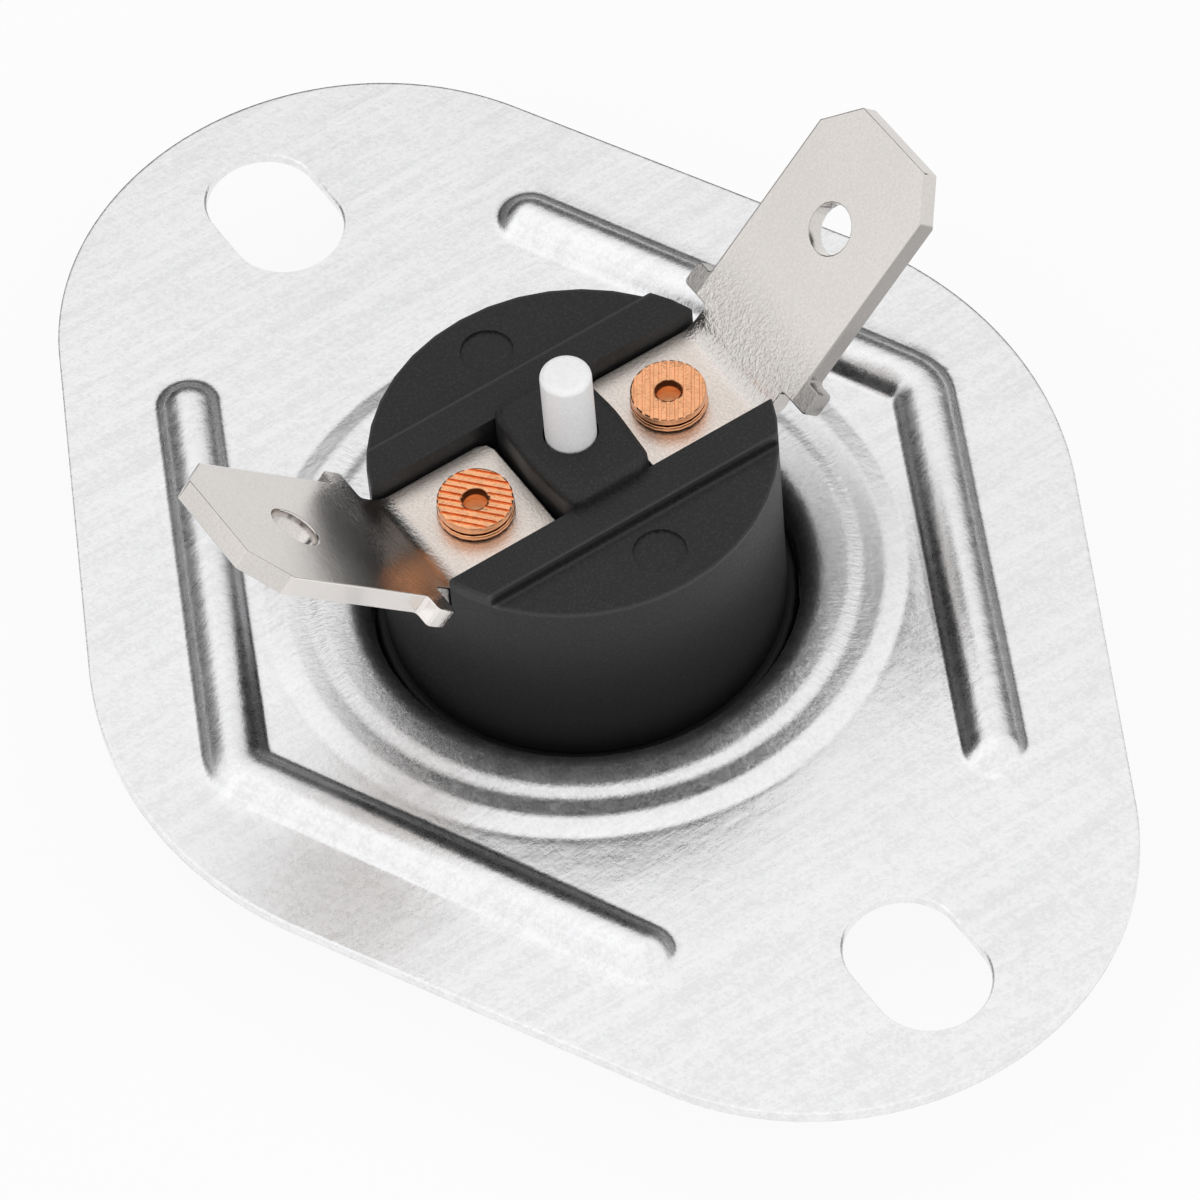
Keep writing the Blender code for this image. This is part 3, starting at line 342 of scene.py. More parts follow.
def pressed_sheet(name, base, roughness):
    """Rolled sheet: finely mottled, with rolling streaks along Y, and radial ones where it was drawn."""
    drawn_fade = (0.0104, 0.0122)                                   # radii round the collar
    ripple_rise, ripple_fall = (0.0119, 0.0123), (0.0123, 0.0128)   # radii at the collar's foot
    nodes = Nodes(name, metallic=1.0)
    place = nodes.place()
    clouds = nodes.noise(place, 160.0, 4.0, 0.6)
    mottle = nodes.noise(place, 6500.0, 3.0, 0.6)
    patches = nodes.noise(place, 1400.0, 5.0, 0.65)
    streaks = nodes.noise(nodes.place((2600.0, 170.0, 900.0), 0.12), 1.0, 4.0, 0.6)
    radius = nodes.radius()
    drawn = nodes.noise(nodes.vector(nodes.bearing() * 55.0, radius * 1500.0), 1.0, 4.0, 0.7)
    zone = 1.0 - radius.between(*drawn_fade)
    mark = streaks * (1.0 - zone) + drawn * zone
    ripple = radius.between(*ripple_rise) * (1.0 - radius.between(*ripple_fall))
    tone = (mottle * 0.4 + patches * 0.3 + mark * 0.3).between(0.40, 0.58)
    base_mix = nodes.mix(tone, shade(base, 0.88), base)
    uneven = (clouds - 0.5) * 0.08 + (mottle - 0.5) * 0.12 + (patches - 0.5) * 0.16
    rough = roughness + uneven + zone * 0.06
    relief = mottle * 0.26 + patches * 0.9 + mark * (0.45 + zone * 1.1) + ripple * 0.25
    return nodes.surface(base_mix, rough, relief, 0.000021)


def drawn_cup(name, base, roughness, rim):
    """Bright drawn sheet, rougher where its rim was rolled in under the body's foot, with painted shade
    darkening it there.
    """
    nodes = Nodes(name, metallic=1.0)
    z = nodes.along("Z")
    drawn = nodes.noise(nodes.vector(nodes.bearing() * 60.0, z * 1500.0), 1.0, 3.0, 0.6)
    # painted shade: the rolled-in rim in the gap under the body is darkened to 0.04 of the metal, and made
    # rougher
    shaded_rough_rim = z.between(rim - 0.0015, rim - 0.0008)
    bright = nodes.mix(drawn.between(0.35, 0.65), shade(base, 0.90), base)
    base_mix = nodes.mix(shaded_rough_rim, bright, shade(base, 0.04))
    return nodes.surface(base_mix, roughness + (drawn - 0.5) * 0.12 + shaded_rough_rim * 0.3, drawn, 0.000008)


def plated_strip(name, base, strip, roughness, bend):
    """Bright plating over rolled strip: sandy on the flat and speckled past the bend.

    The blades' sheared edges carry a painted highlight on the left terminal and painted shade on the right
    one.
    """
    painted_edge_rise = (0.00306, 0.00314)      # from the middle line of a blade, just inside its edge
    nodes = Nodes(name, metallic=1.0)
    place = nodes.place()
    clouds = nodes.noise(place, 260.0, 4.0, 0.6)
    sand = nodes.noise(place, 9000.0, 3.0, 0.7)
    speckle = nodes.noise(place, 4500.0, 3.0, 0.8)
    right = nodes.along("Y").between(0.0, 0.001)
    y = abs(nodes.along("Y"))
    past_bend = y.between(bend - 0.0006, bend - 0.0001) * (1.0 - y.between(bend + 0.0008, bend + 0.0030))
    flat = 1.0 - y.between(bend - 0.0006, bend)
    painted_edge = abs(nodes.along("X")).between(*painted_edge_rise) * (1.0 - flat)
    grain = (clouds * 0.3 + sand * 0.7).between(0.38, 0.62)
    blade = nodes.mix(grain, shade(base, 0.90), base)
    # lit and shaded copies of one plating: the flat strips are painted lighter and warmer than the blades
    plain = nodes.mix(flat, blade, nodes.mix(grain, shade(strip, 0.82), strip))
    # painted highlight on the left blade's sheared edges (1.35 times the plating) and painted shade on the
    # right one's (0.25 of it)
    sheared = nodes.mix(right, shade(base, 1.35), shade(base, 0.25))
    base_mix = nodes.mix(painted_edge * 0.6, plain, sheared)
    uneven = (clouds - 0.5) * 0.05 + (sand - 0.5) * 0.10 + (speckle - 0.5) * past_bend * 0.30
    rough = roughness + flat * 0.18 + uneven
    relief = sand * (0.25 + flat * 1.2) + clouds * 0.5 + speckle * past_bend * 2.4
    return nodes.surface(base_mix, rough, relief, 0.000010)


def set_copper(name, base, roughness, offset, bore, floor, top):
    """Copper rivet, bright where it was struck, with painted shade and more roughness down the wall of its
    bore, and a painted highlight and more roughness on the bore's floor.
    """
    nodes = Nodes(name, metallic=1.0)
    place = nodes.place()
    wander = nodes.noise(place, 2600.0, 3.0, 0.6)
    grain = nodes.noise(place, 9000.0, 3.0, 0.6)
    z = nodes.along("Z")
    inside = 1.0 - nodes.radius(offset).between(bore * 1.02, bore * 1.16)
    middle = (floor + top) / 2.0
    # painted shade: the upper wall of the bore is darkened to 0.12 of the copper
    wall = inside * z.between(middle - 0.0001, middle) * (1.0 - z.between(top - 0.0001, top - 0.00002))
    # painted highlight: the bore's floor is lightened to 1.15 times the copper
    bottom = inside * (1.0 - z.between(floor + 0.00008, floor + 0.0002))
    face = z.between(top - 0.00016, top - 0.00006)
    struck = nodes.mix((wander * 0.6 + grain * 0.4).between(0.36, 0.60), shade(base, 0.80), base)
    lit = nodes.mix(bottom, struck, shade(base, 1.15))
    base_mix = nodes.mix(wall, lit, shade(base, 0.12))
    rough = roughness + (wander - 0.5) * 0.16 * face + wall * 0.3 + bottom * 0.3
    return nodes.surface(base_mix, rough, (grain * 0.4 + wander) * face, 0.000034)


def washer_copper(name, base, roughness):
    """Plain copper with the fine grain of a blanked washer."""
    nodes = Nodes(name, metallic=1.0)
    grain = nodes.noise(nodes.place(), 7000.0, 3.0, 0.6)
    base_mix = nodes.mix(grain.between(0.36, 0.60), shade(base, 0.86), base)
    return nodes.surface(base_mix, roughness + (grain - 0.5) * 0.08, grain, 0.000002)


def moulding_grain(nodes, base, roughness, spread):
    """Colour, roughness and relief of a matt moulding with a fine even grain and faint flow marks."""
    place = nodes.place()
    flow = nodes.noise(nodes.place((160.0, 160.0, 420.0)), 1.0, 4.0, 0.6)
    grain = nodes.noise(place, 7500.0, 4.0, 0.65)
    specks = nodes.noise(place, 9500.0, 2.0, 0.5).between(0.54, 0.64)
    tone = (flow * 0.3 + grain * 0.7).between(0.35, 0.65)
    plain = nodes.mix(tone, shade(base, 1.0 - spread), shade(base, 1.0 + spread))
    base_mix = nodes.mix(specks * 0.3, plain, shade(base, 1.0 + 8.0 * spread))
    rough = roughness + (flow - 0.5) * 0.10 + (grain - 0.5) * 0.30
    return base_mix, rough, grain + flow * 0.3


def moulded(name, base, roughness, spread=0.3, depth=0.000016):
    """Plain matt moulding."""
    nodes = Nodes(name)
    base_mix, rough, relief = moulding_grain(nodes, base, roughness, spread)
    return nodes.surface(base_mix, rough, relief, depth)


def black_moulding(name, base, roughness, body, radius, top):
    """Black moulding, with painted shade darker down its side and painted highlights along its rim and the
    edges of its rails.
    """
    nodes = Nodes(name, specular=0.32)
    base_mix, rough, relief = moulding_grain(nodes, base, roughness, 0.3)
    x = abs(nodes.along("X"))
    z = nodes.along("Z")
    rail = body.rail
    # painted shade: the side darkens towards the bottom, to 0.35 of the moulding, and is rougher
    dark = 1.0 - z.between(top - body.painted_shade_depth, top - 0.0001)
    on_top = z.between(top - 0.0002, top - 0.00005)
    on_rail = z.between(top + 0.0002, top + 0.0003)
    rim = nodes.radius().between(radius - 0.00016, radius - 0.00004) * on_top
    foot = x.between(rail + 0.00004, rail + 0.00012) * (1.0 - x.between(rail + 0.00016, rail + 0.0003))
    edge = x.between(rail - 0.00016, rail - 0.00006) * (1.0 - x.between(rail, rail + 0.00006))
    # painted highlights: thin lighter lines along the top rim, at the foot of the rails and along the rails'
    # edges
    painted_highlights = rim * 0.25 + foot * on_top * 0.35 + edge * on_rail * 0.25
    side = nodes.mix(dark, base_mix, shade(base, 0.35))
    return nodes.surface(nodes.mix(painted_highlights, side, shade(base, 7.0)), rough + dark * 0.30, relief, 0.000016)


def rolled(name, base, roughness):
    """Plain rolled strip with streaks along Y."""
    nodes = Nodes(name, metallic=1.0)
    streaks = nodes.noise(nodes.place((4200.0, 300.0, 900.0)), 1.0, 4.0, 0.6)
    clouds = nodes.noise(nodes.place(), 420.0, 3.0, 0.5)
    base_mix = nodes.mix(clouds.between(0.3, 0.7), shade(base, 0.90), base)
    return nodes.surface(base_mix, roughness + (streaks - 0.5) * 0.14, streaks, 0.000005)


# Modelling

def add_piece(name, mesh, material, body, *nodes):
    """A finished piece that rides on a body and stands for CAD nodes."""
    piece = bpy.data.objects.new(name, mesh)
    bpy.context.scene.collection.objects.link(piece)
    mesh.materials.clear()
    mesh.materials.append(material)
    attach(piece, body)
    if nodes:
        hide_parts(*nodes)
    return piece


def to_mesh(bm, name, sharp=SMOOTH_ANGLE):
    """A smooth mesh whose edges above an angle stay sharp."""
    mesh = bpy.data.meshes.new(name)
    bm.to_mesh(mesh)
    bm.free()
    mesh.shade_smooth()
    mesh.set_sharp_from_angle(angle=sharp)
    return mesh


def spin_round(bm, verts, edges, steps):
    """Spins a profile once round Z and closes the seam and the poles."""
    bmesh.ops.spin(
        bm, geom=verts + edges, cent=(0.0, 0.0, 0.0), axis=(0.0, 0.0, 1.0), angle=ALL_ROUND,
        steps=steps, use_merge=True)
    bmesh.ops.remove_doubles(bm, verts=bm.verts[:], dist=SPUN_MERGE)


def spun(bm, points, steps):
    """Turns a profile of (radius, height) points about Z."""
    verts = [bm.verts.new((radius, 0.0, height)) for radius, height in points]
    edges = [bm.edges.new(pair) for pair in zip(verts, verts[1:])]
    spin_round(bm, verts, edges, steps)
    bmesh.ops.recalc_face_normals(bm, faces=bm.faces[:])


def rounded(corners, step=math.radians(15.0)):
    """A polyline through (u, v, radius) corners, each rounded by its radius."""
    points = [corners[0][:2]]
    for before, here, after in zip(corners, corners[1:], corners[2:]):
        radius = here[2]
        if radius == 0.0:
            points.append(here[:2])
            continue
        corner = Vector(here[:2])
        back = (Vector(before[:2]) - corner).normalized()
        ahead = (Vector(after[:2]) - corner).normalized()
        half = back.angle(ahead) / 2.0
        centre = corner + (back + ahead).normalized() * radius / math.sin(half)
        start = corner + back * radius / math.tan(half) - centre
        end = corner + ahead * radius / math.tan(half) - centre
        first = math.atan2(start.y, start.x)
        sweep = (math.atan2(end.y, end.x) - first + math.pi) % ALL_ROUND - math.pi
        parts = max(2, math.ceil(abs(sweep) / step))
        for i in range(parts + 1):
            turn = first + sweep * i / parts
            points.append((centre.x + radius * math.cos(turn), centre.y + radius * math.sin(turn)))
    points.append(corners[-1][:2])
    return points


def eased_copy(node, edge, segments=3):
    """A merged copy of a CAD node's mesh with its sharp edges rounded."""
    bm = bmesh.new()
    bm.from_mesh(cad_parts[node].data)
    bmesh.ops.remove_doubles(bm, verts=bm.verts[:], dist=MERGE)
    bmesh.ops.dissolve_limit(bm, angle_limit=FLAT_ANGLE, verts=bm.verts[:], edges=bm.edges[:])
    folds = [item for item in bm.edges if len(item.link_faces) == 2]
    sharp = [item for item in folds if item.calc_face_angle() > EDGE_ANGLE]
    bmesh.ops.bevel(
        bm, geom=sharp, offset=edge, offset_type='OFFSET', affect='EDGES', segments=segments, profile=0.5,
        material=-1, clamp_overlap=True)
    return to_mesh(bm, node, EASED_ANGLE)


def soften(piece):
    """Keeps flat faces flat where they run into rounded edges."""
    shading = piece.modifiers.new("Flat faces", 'WEIGHTED_NORMAL')
    shading.weight = 100
    shading.keep_sharp = True


# Mounting flange

def bead_distance(flange, x, y):
    """Distance from a point to the middle line of the bead on its side."""
    x, y = abs(x), abs(y)
    corner = flange.bead_offset / math.cos(flange.bead_angle)
    centre = corner - flange.bead_corner / math.cos(flange.bead_angle)
    if y > centre and math.atan2(x, y - centre) < flange.bead_angle:
        return abs(math.hypot(x, y - centre) - flange.bead_corner)
    start_x = flange.bead_corner * math.sin(flange.bead_angle)
    run = max(0.0, ((x - start_x) * math.cos(flange.bead_angle)
                    - (y - corner + start_x * math.tan(flange.bead_angle)) * math.sin(flange.bead_angle)))
    run = min(run, (flange.bead_reach - start_x) / math.cos(flange.bead_angle))
    line_x = start_x + run * math.cos(flange.bead_angle)
    line_y = corner - line_x * math.tan(flange.bead_angle)
    return math.hypot(x - line_x, y - line_y)


def bead_rise(flange, distance, depth):
    """Height of the sheet's face, depth below its upper one, at a distance from a bead's middle line."""
    crown = flange.bead_crown - depth
    foot = flange.bead_foot + depth
    top = flange.bead_height - flange.bead_crown
    reach = math.sqrt((flange.bead_crown + flange.bead_foot) ** 2 - (flange.bead_foot - top) ** 2)
    slope = reach / (flange.bead_crown + flange.bead_foot)
    if distance < crown * slope:
        return top + math.sqrt(crown ** 2 - distance ** 2)
    if distance < reach:
        return flange.bead_foot - math.sqrt(foot ** 2 - (reach - distance) ** 2)
    return -depth


def outline_reach(flange, turn):
    """Distance from the middle of the flange to its edge."""
    x, y = abs(math.cos(turn)), abs(math.sin(turn))
    span = math.hypot(flange.end_offset, flange.side_offset)
    normal = math.acos((flange.side_radius - flange.end_radius) / span)
    normal -= math.atan2(flange.side_offset, flange.end_offset)
    outward = Vector((math.cos(normal), math.sin(normal)))
    end = Vector((flange.end_offset, 0.0)) + flange.end_radius * outward
    side = Vector((0.0, flange.side_offset)) + flange.side_radius * outward
    if y * end.x < x * end.y:
        across = flange.end_offset * y
        return flange.end_offset * x + math.sqrt(flange.end_radius ** 2 - across ** 2)
    if y * side.x > x * side.y:
        across = flange.side_offset * x
        return flange.side_offset * y + math.sqrt(flange.side_radius ** 2 - across ** 2)
    return side.dot(outward) / (x * math.cos(normal) + y * math.sin(normal))


def ring_reach(flange, turn, share, start, band):
    """Radius of a ring of the flat: shares 1 to 2 follow the bead, 0 is the collar and 3 the edge."""
    bend = 16.0             # how sharply the rings turn from the bead's line to the outline
    farthest = 0.86         # middle of the band where no bead runs, as a share of the outline
    widest = 1.3            # most that the band widens where a bead runs aslant
    edge = outline_reach(flange, turn)
    x, y = abs(math.cos(turn)), abs(math.sin(turn))
    bead = flange.bead_offset / (x * math.sin(flange.bead_angle) + y * math.cos(flange.bead_angle))
    middle = (bead ** -bend + (farthest * edge) ** -bend) ** (-1.0 / bend)
    band *= min(bead / flange.bead_offset, widest)
    stops = (start, middle - band, middle + band, edge)
    part = min(int(share), 2)
    return stops[part] + (stops[part + 1] - stops[part]) * (share - part)


def collar_corners(flange):
    """Upper face from the flat in to the neck's hole, with the rounding of each corner."""
    top = flange.top
    fillet = flange.collar_fillet
    return [
        (flange.foot + 0.00015, top, 0.0),
        (flange.foot, top, fillet),
        (flange.ridge, top + flange.ridge_height, fillet),
        (flange.trough, top + flange.trough_height, fillet),
        (flange.crest, top + flange.crest_height, fillet),
        (flange.neck, top + flange.lip_height, flange.lip_fillet),
        (flange.neck, flange.neck_floor, 0.0003),
        (flange.neck_hole, flange.neck_floor, 0.0),
    ]


def offset_path(points, distance):
    """The path moved sideways, to its left."""
    moved = []
    for i, point in enumerate(points):
        before = Vector(points[max(i - 1, 0)])
        after = Vector(points[min(i + 1, len(points) - 1)])
        along = (after - before).normalized()
        moved.append((point[0] - along.y * distance, point[1] + along.x * distance))
    return moved


def step_turns(flange):
    """Turns of the steps round the flange, drawn together at the round ends of the beads."""
    corner = flange.bead_offset / math.cos(flange.bead_angle)
    end = math.atan2(corner - flange.bead_reach * math.tan(flange.bead_angle), flange.bead_reach)
    spread = math.radians(6.0)
    closeness = 2.5
    samples = flange.steps * 64
    fine = [ALL_ROUND * i / samples for i in range(samples)]
    weights = []
    for turn in fine:
        folded = math.atan2(abs(math.sin(turn)), abs(math.cos(turn)))
        weights.append(1.0 + closeness * math.exp(-((folded - end) / spread) ** 2))
    share = sum(weights) / flange.steps
    turns = []
    reached = 0.0
    for turn, weight in zip(fine, weights):
        if reached >= share * len(turns):
            turns.append(turn)
        reached += weight
    return turns


def flange_mesh(flange):
    """Spins the closed section of the sheet, then moves its flat out to the outline and up over the beads."""
    upper = rounded(collar_corners(flange), math.radians(10.0))
    lower = offset_path(upper, flange.sheet)
    lower[0] = (upper[0][0], flange.top - flange.sheet)
    lower[-1] = (upper[-1][0], upper[-1][1] - flange.sheet)
    start = upper[0][0]
    band = flange.bead_crown + flange.bead_foot / 2.0
    inner = [i / FLAT_PARTS for i in range(1, FLAT_PARTS)]
    across = [1.0 + i / BEAD_PARTS for i in range(BEAD_PARTS + 1)]
    outer = [2.0 + share for share in inner]
    shares = inner + across + outer
    edge = flange.edge
    eased = edge * 0.3
    thick = flange.sheet
    rim = [(edge * 2.0, 0.0), (edge, 0.0), (eased, eased), (0.0, edge), (0.0, thick - edge),
           (eased, thick - eased), (edge, thick), (edge * 2.0, thick)]
    flat = [(share, 0.0, 0.0) for share in shares] + [(3.0, inset, depth) for inset, depth in rim]
    flat += [(share, 0.0, thick) for share in reversed(shares)]

    bm = bmesh.new()
    share_layer = bm.verts.layers.float.new("share")
    inset_layer = bm.verts.layers.float.new("inset")
    depth_layer = bm.verts.layers.float.new("depth")
    verts = []
    for i, (share, inset, depth) in enumerate(flat):
        vert = bm.verts.new((start + 0.001 + 0.0001 * i, 0.0, flange.top - depth))
        vert[share_layer] = share
        vert[inset_layer] = inset
        vert[depth_layer] = depth
        verts.append(vert)
    for radius, height in lower + upper[::-1]:
        vert = bm.verts.new((radius, 0.0, height))
        vert[share_layer] = -1.0
        verts.append(vert)
    edges = [bm.edges.new((verts[i - 1], verts[i])) for i in range(len(verts))]
    spin_round(bm, verts, edges, flange.steps)
    turns = step_turns(flange)
    for vert in bm.verts:
        share = vert[share_layer]
        step = round(math.atan2(vert.co.y, vert.co.x) * flange.steps / ALL_ROUND)
        turn = turns[step % flange.steps]
        radius = math.hypot(vert.co.x, vert.co.y)
        if share >= 0.0:
            radius = ring_reach(flange, turn, share, start, band) - vert[inset_layer]
        vert.co.x = radius * math.cos(turn)
        vert.co.y = radius * math.sin(turn)
        if 0.0 <= share < 3.0:
            distance = bead_distance(flange, vert.co.x, vert.co.y)
            vert.co.z = flange.top + bead_rise(flange, distance, vert[depth_layer])
    bmesh.ops.recalc_face_normals(bm, faces=bm.faces[:])
    return to_mesh(bm, "mounting_flange_sheet", SHEET_ANGLE)


def slot_cutter(flange, side):
    """Stadium prism that flares a little at both faces of the sheet."""
    reach = (flange.slot_length - flange.slot_width) / 2.0
    edge = flange.edge
    past = 0.001            # cutter beyond either face
    middle = 1e-7           # a circle's vertices nearer than this to its middle line stay on it
    top, bottom = flange.top, flange.top - flange.sheet
    levels = [(bottom - past, edge), (bottom, edge), (bottom + edge, 0.0),
              (top - edge, 0.0), (top, edge), (top + past, edge)]
    bm = bmesh.new()
    loops = []
    for height, flare in levels:
        made = bmesh.ops.create_circle(bm, segments=48, radius=flange.slot_width / 2.0 + flare)
        for vert in made["verts"]:
            if vert.co.x > middle:
                vert.co.x += reach
            elif vert.co.x < -middle:
                vert.co.x -= reach
            vert.co.x += side * flange.slot_spacing / 2.0
            vert.co.z = height
        loops.append(list({item for vert in made["verts"] for item in vert.link_edges}))
    for lower, upper in zip(loops, loops[1:]):
        bmesh.ops.bridge_loops(bm, edges=lower + upper)
    bmesh.ops.holes_fill(bm, edges=[item for item in bm.edges if item.is_boundary])
    bmesh.ops.recalc_face_normals(bm, faces=bm.faces[:])
    mesh = bpy.data.meshes.new("slot_cutter")
    bm.to_mesh(mesh)
    bm.free()
    return mesh


def cut(mesh, cutters):
    """The mesh less the cutters, as a new mesh."""
    scene = bpy.context.scene
    block = bpy.data.objects.new("cut_block", mesh)
    scene.collection.objects.link(block)
    tools = []
    for i, cutter in enumerate(cutters):
        tool = bpy.data.objects.new("cut_tool_%d" % i, cutter)
        scene.collection.objects.link(tool)
        boolean = block.modifiers.new("Cut", 'BOOLEAN')
        boolean.operation = 'DIFFERENCE'
        boolean.solver = 'EXACT'
        boolean.object = tool
        tools.append(tool)
    bpy.context.view_layer.update()
    graph = bpy.context.evaluated_depsgraph_get()
    result = bpy.data.meshes.new_from_object(block.evaluated_get(graph))
    for item in [block] + tools:
        bpy.data.objects.remove(item)
    return result


class SWITCH_OT_flange(bpy.types.Operator):
    """Model the pressed flange with smooth beads and collar"""
    bl_idname = "switch.flange"
    bl_label = "Mounting flange"

    def execute(self, context):
        flange = context.scene.switch_flange
        mesh = cut(flange_mesh(flange), [slot_cutter(flange, side) for side in (-1, 1)])
        mesh.name = "flange_sheet"
        mesh.set_sharp_from_angle(angle=SHEET_ANGLE)
        material = pressed_sheet("satin_aluminium", tuple(flange.metal), flange.roughness)
        piece = add_piece("flange_sheet", mesh, material, "base", "mounting_flange")
        return {'FINISHED'}


# Body, terminals, rivets and pin

class SWITCH_OT_body(bpy.types.Operator):
    """Round the moulded edges of the body and give it its grain"""
    bl_idname = "switch.body"
    bl_label = "Body"

    def execute(self, context):
        body = context.scene.switch_body
        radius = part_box("switch_body")[1][0]
        material = black_moulding(
            "black_moulding", tuple(body.plastic), body.roughness, body, radius, body.side_top)
        mesh = eased_copy("switch_body", body.edge)
        piece = add_piece("body_moulding", mesh, material, "base", "switch_body")
        soften(piece)
        return {'FINISHED'}


class SWITCH_OT_terminals(bpy.types.Operator):
    """Round the sheared edges of the terminals and plate them"""
    bl_idname = "switch.terminals"
    bl_label = "Terminals"

    def execute(self, context):
        terminal = context.scene.switch_terminal
        material = plated_strip(
            "nickel_plating", tuple(terminal.plating), tuple(terminal.lit_strip_plating), terminal.roughness,
            terminal.bend)
        for side in ("left", "right"):
            node = "terminal_" + side
            piece = add_piece("tab_" + side, eased_copy(node, terminal.edge), material, "base", node)
            soften(piece)
        return {'FINISHED'}


def rivet_mesh(rivet, node, side, turn):
    """A grooved rivet, with the heights of its bore's floor and of its head."""
    low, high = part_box(node)
    bottom, top = low[2], high[2]
    seat = top - rivet.head_height
    tail = bottom + rivet.tail_height
    floor = top - rivet.bore_depth
    corners = [
        (0.0, floor + 0.00005, 0.0),
        (rivet.bore * 0.5, floor, 0.0),
        (rivet.bore, floor, 0.0),
        (rivet.bore, top, rivet.mouth),
        (rivet.head, top, rivet.edge),
        (rivet.head, seat, rivet.edge * 0.6),
        (rivet.shank, seat, 0.0),
        (rivet.shank, tail, 0.0),
        (rivet.tail, tail, rivet.edge),
        (rivet.tail, bottom, rivet.edge),
        (0.0, bottom, 0.0),
    ]
    bm = bmesh.new()
    spun(bm, rounded(corners), rivet.steps)
    bmesh.ops.translate(bm, verts=bm.verts[:], vec=(0.0, side * rivet.offset, 0.0))
    mesh = cut(to_mesh(bm, node), [groove_cutter(rivet, side, turn, top)])
    mesh.set_sharp_from_angle(angle=HEAD_ANGLE)
    return mesh, floor, top


def groove_cutter(rivet, side, turn, top):
    """Parallel bars, each a little unlike the next, that the setting tool's face leaves across the head."""
    bm = bmesh.new()
    unlike = 0.12           # most that a bar differs from the mean
    reach = int(rivet.head / rivet.groove_pitch)
    for i in range(-reach, reach + 1):
        width = rivet.groove_width * (1.0 + unlike * math.sin(2.3 * i))
        depth = rivet.groove_depth * (1.0 + unlike * math.sin(4.1 * i + 1.0))
        made = bmesh.ops.create_cube(bm, size=1.0)["verts"]
        bmesh.ops.scale(bm, verts=made, vec=(4.0 * rivet.head, width, 2.0 * depth))
        upper = [vert for vert in made if vert.co.z > 0.0]
        bmesh.ops.scale(bm, verts=upper, vec=(1.0, 2.0, 1.0))
        bmesh.ops.translate(bm, verts=made, vec=(0.0, i * rivet.groove_pitch, 0.0))
    bmesh.ops.rotate(bm, verts=bm.verts[:], cent=(0.0, 0.0, 0.0), matrix=Matrix.Rotation(turn, 3, 'Z'))
    bmesh.ops.translate(bm, verts=bm.verts[:], vec=(0.0, side * rivet.offset, top))
    mesh = bpy.data.meshes.new("groove_cutter")
    bm.to_mesh(mesh)
    bm.free()
    return mesh


class SWITCH_OT_rivets(bpy.types.Operator):
    """Model the terminal rivets and washers with the lines of the setting tool"""
    bl_idname = "switch.rivets"
    bl_label = "Terminal rivets"

    def execute(self, context):
        rivet = context.scene.switch_rivet
        copper = tuple(rivet.copper)
        for label, side, turn in (("left", -1, rivet.left_turn), ("right", 1, rivet.right_turn)):
            node = "terminal_rivet_" + label
            mesh, floor, top = rivet_mesh(rivet, node, side, turn)
            material = set_copper(
                "copper_" + label, copper, rivet.roughness, side * rivet.offset, rivet.bore, floor, top)
            piece = add_piece("rivet_" + label, mesh, material, "base", node)
            soften(piece)
            node = "rivet_washer_" + label
            mesh = eased_copy(node, rivet.edge * 0.6)
            material = washer_copper("washer_copper_" + label, copper, rivet.roughness)
            piece = add_piece("washer_" + label, mesh, material, "base", node)
            soften(piece)
        return {'FINISHED'}


class SWITCH_OT_pin(bpy.types.Operator):
    """Model the reset pin"""
    bl_idname = "switch.pin"
    bl_label = "Reset pin"

    def execute(self, context):
        pin = context.scene.switch_pin
        low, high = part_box("reset_pin")
        corners = [
            (0.0, high[2], 0.0),
            (pin.radius, high[2], pin.edge),
            (pin.radius, pin.collar_top, 0.0),
            (pin.collar, pin.collar_top, pin.edge * 0.3),
            (pin.collar, pin.collar_bottom, pin.edge * 0.3),
            (pin.radius, pin.collar_bottom, 0.0),
            (pin.radius, low[2], pin.edge),
            (0.0, low[2], 0.0),
        ]
        bm = bmesh.new()
        spun(bm, rounded(corners), pin.steps)
        material = moulded("white_moulding", tuple(pin.plastic), 0.42, 0.04, 0.000006)
        piece = add_piece("pin", to_mesh(bm, "pin"), material, "reset_button", "reset_pin")
        soften(piece)
        return {'FINISHED'}


class SWITCH_OT_inside(bpy.types.Operator):
    """Give the cup and the pieces inside their metals and mouldings"""
    bl_idname = "switch.inside"
    bl_label = "Cup and inner pieces"

    def execute(self, context):
        inside = context.scene.switch_inside
        brass = rolled("bracket_brass", tuple(inside.brass), 0.30)
        silver = rolled("contact_silver", tuple(inside.silver), 0.28)
        finishes = {
            "bimetal_disc": rolled("disc_bimetal", tuple(inside.bimetal), 0.32),
            "disc_guide": moulded("brown_moulding", tuple(inside.guide), 0.55),
            "transfer_pin": moulded("pin_ceramic", tuple(inside.ceramic), 0.50, 0.05),
            "arm_carrier": brass,
            "fixed_contact_bracket": brass,
            "arm_rivet": brass,
            "contact_arm": rolled("arm_spring_alloy", tuple(inside.spring), 0.28),
            "moving_contact": silver,
            "fixed_contact": silver,
        }
        for node, material in finishes.items():
            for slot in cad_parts[node].material_slots:
                slot.material = material
        cup = drawn_cup("drawn_aluminium", tuple(inside.cup), 0.28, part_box("sensing_cup")[1][2])
        piece = add_piece("cup", eased_copy("sensing_cup", 0.00004, 2), cup, "base", "sensing_cup")
        soften(piece)
        return {'FINISHED'}


# Studio

def add_lamp(name, place, aim, width, height, energy):
    """A softbox that is turned towards its aim."""
    data = bpy.data.lights.new(name, 'AREA')
    data.shape = 'RECTANGLE'
    data.size = width
    data.size_y = height
    data.energy = energy
    lamp = bpy.data.objects.new(name, data)
    bpy.context.scene.collection.objects.link(lamp)
    lamp.location = place
    lamp.rotation_euler = (Vector(aim) - Vector(place)).to_track_quat('-Z', 'Y').to_euler()


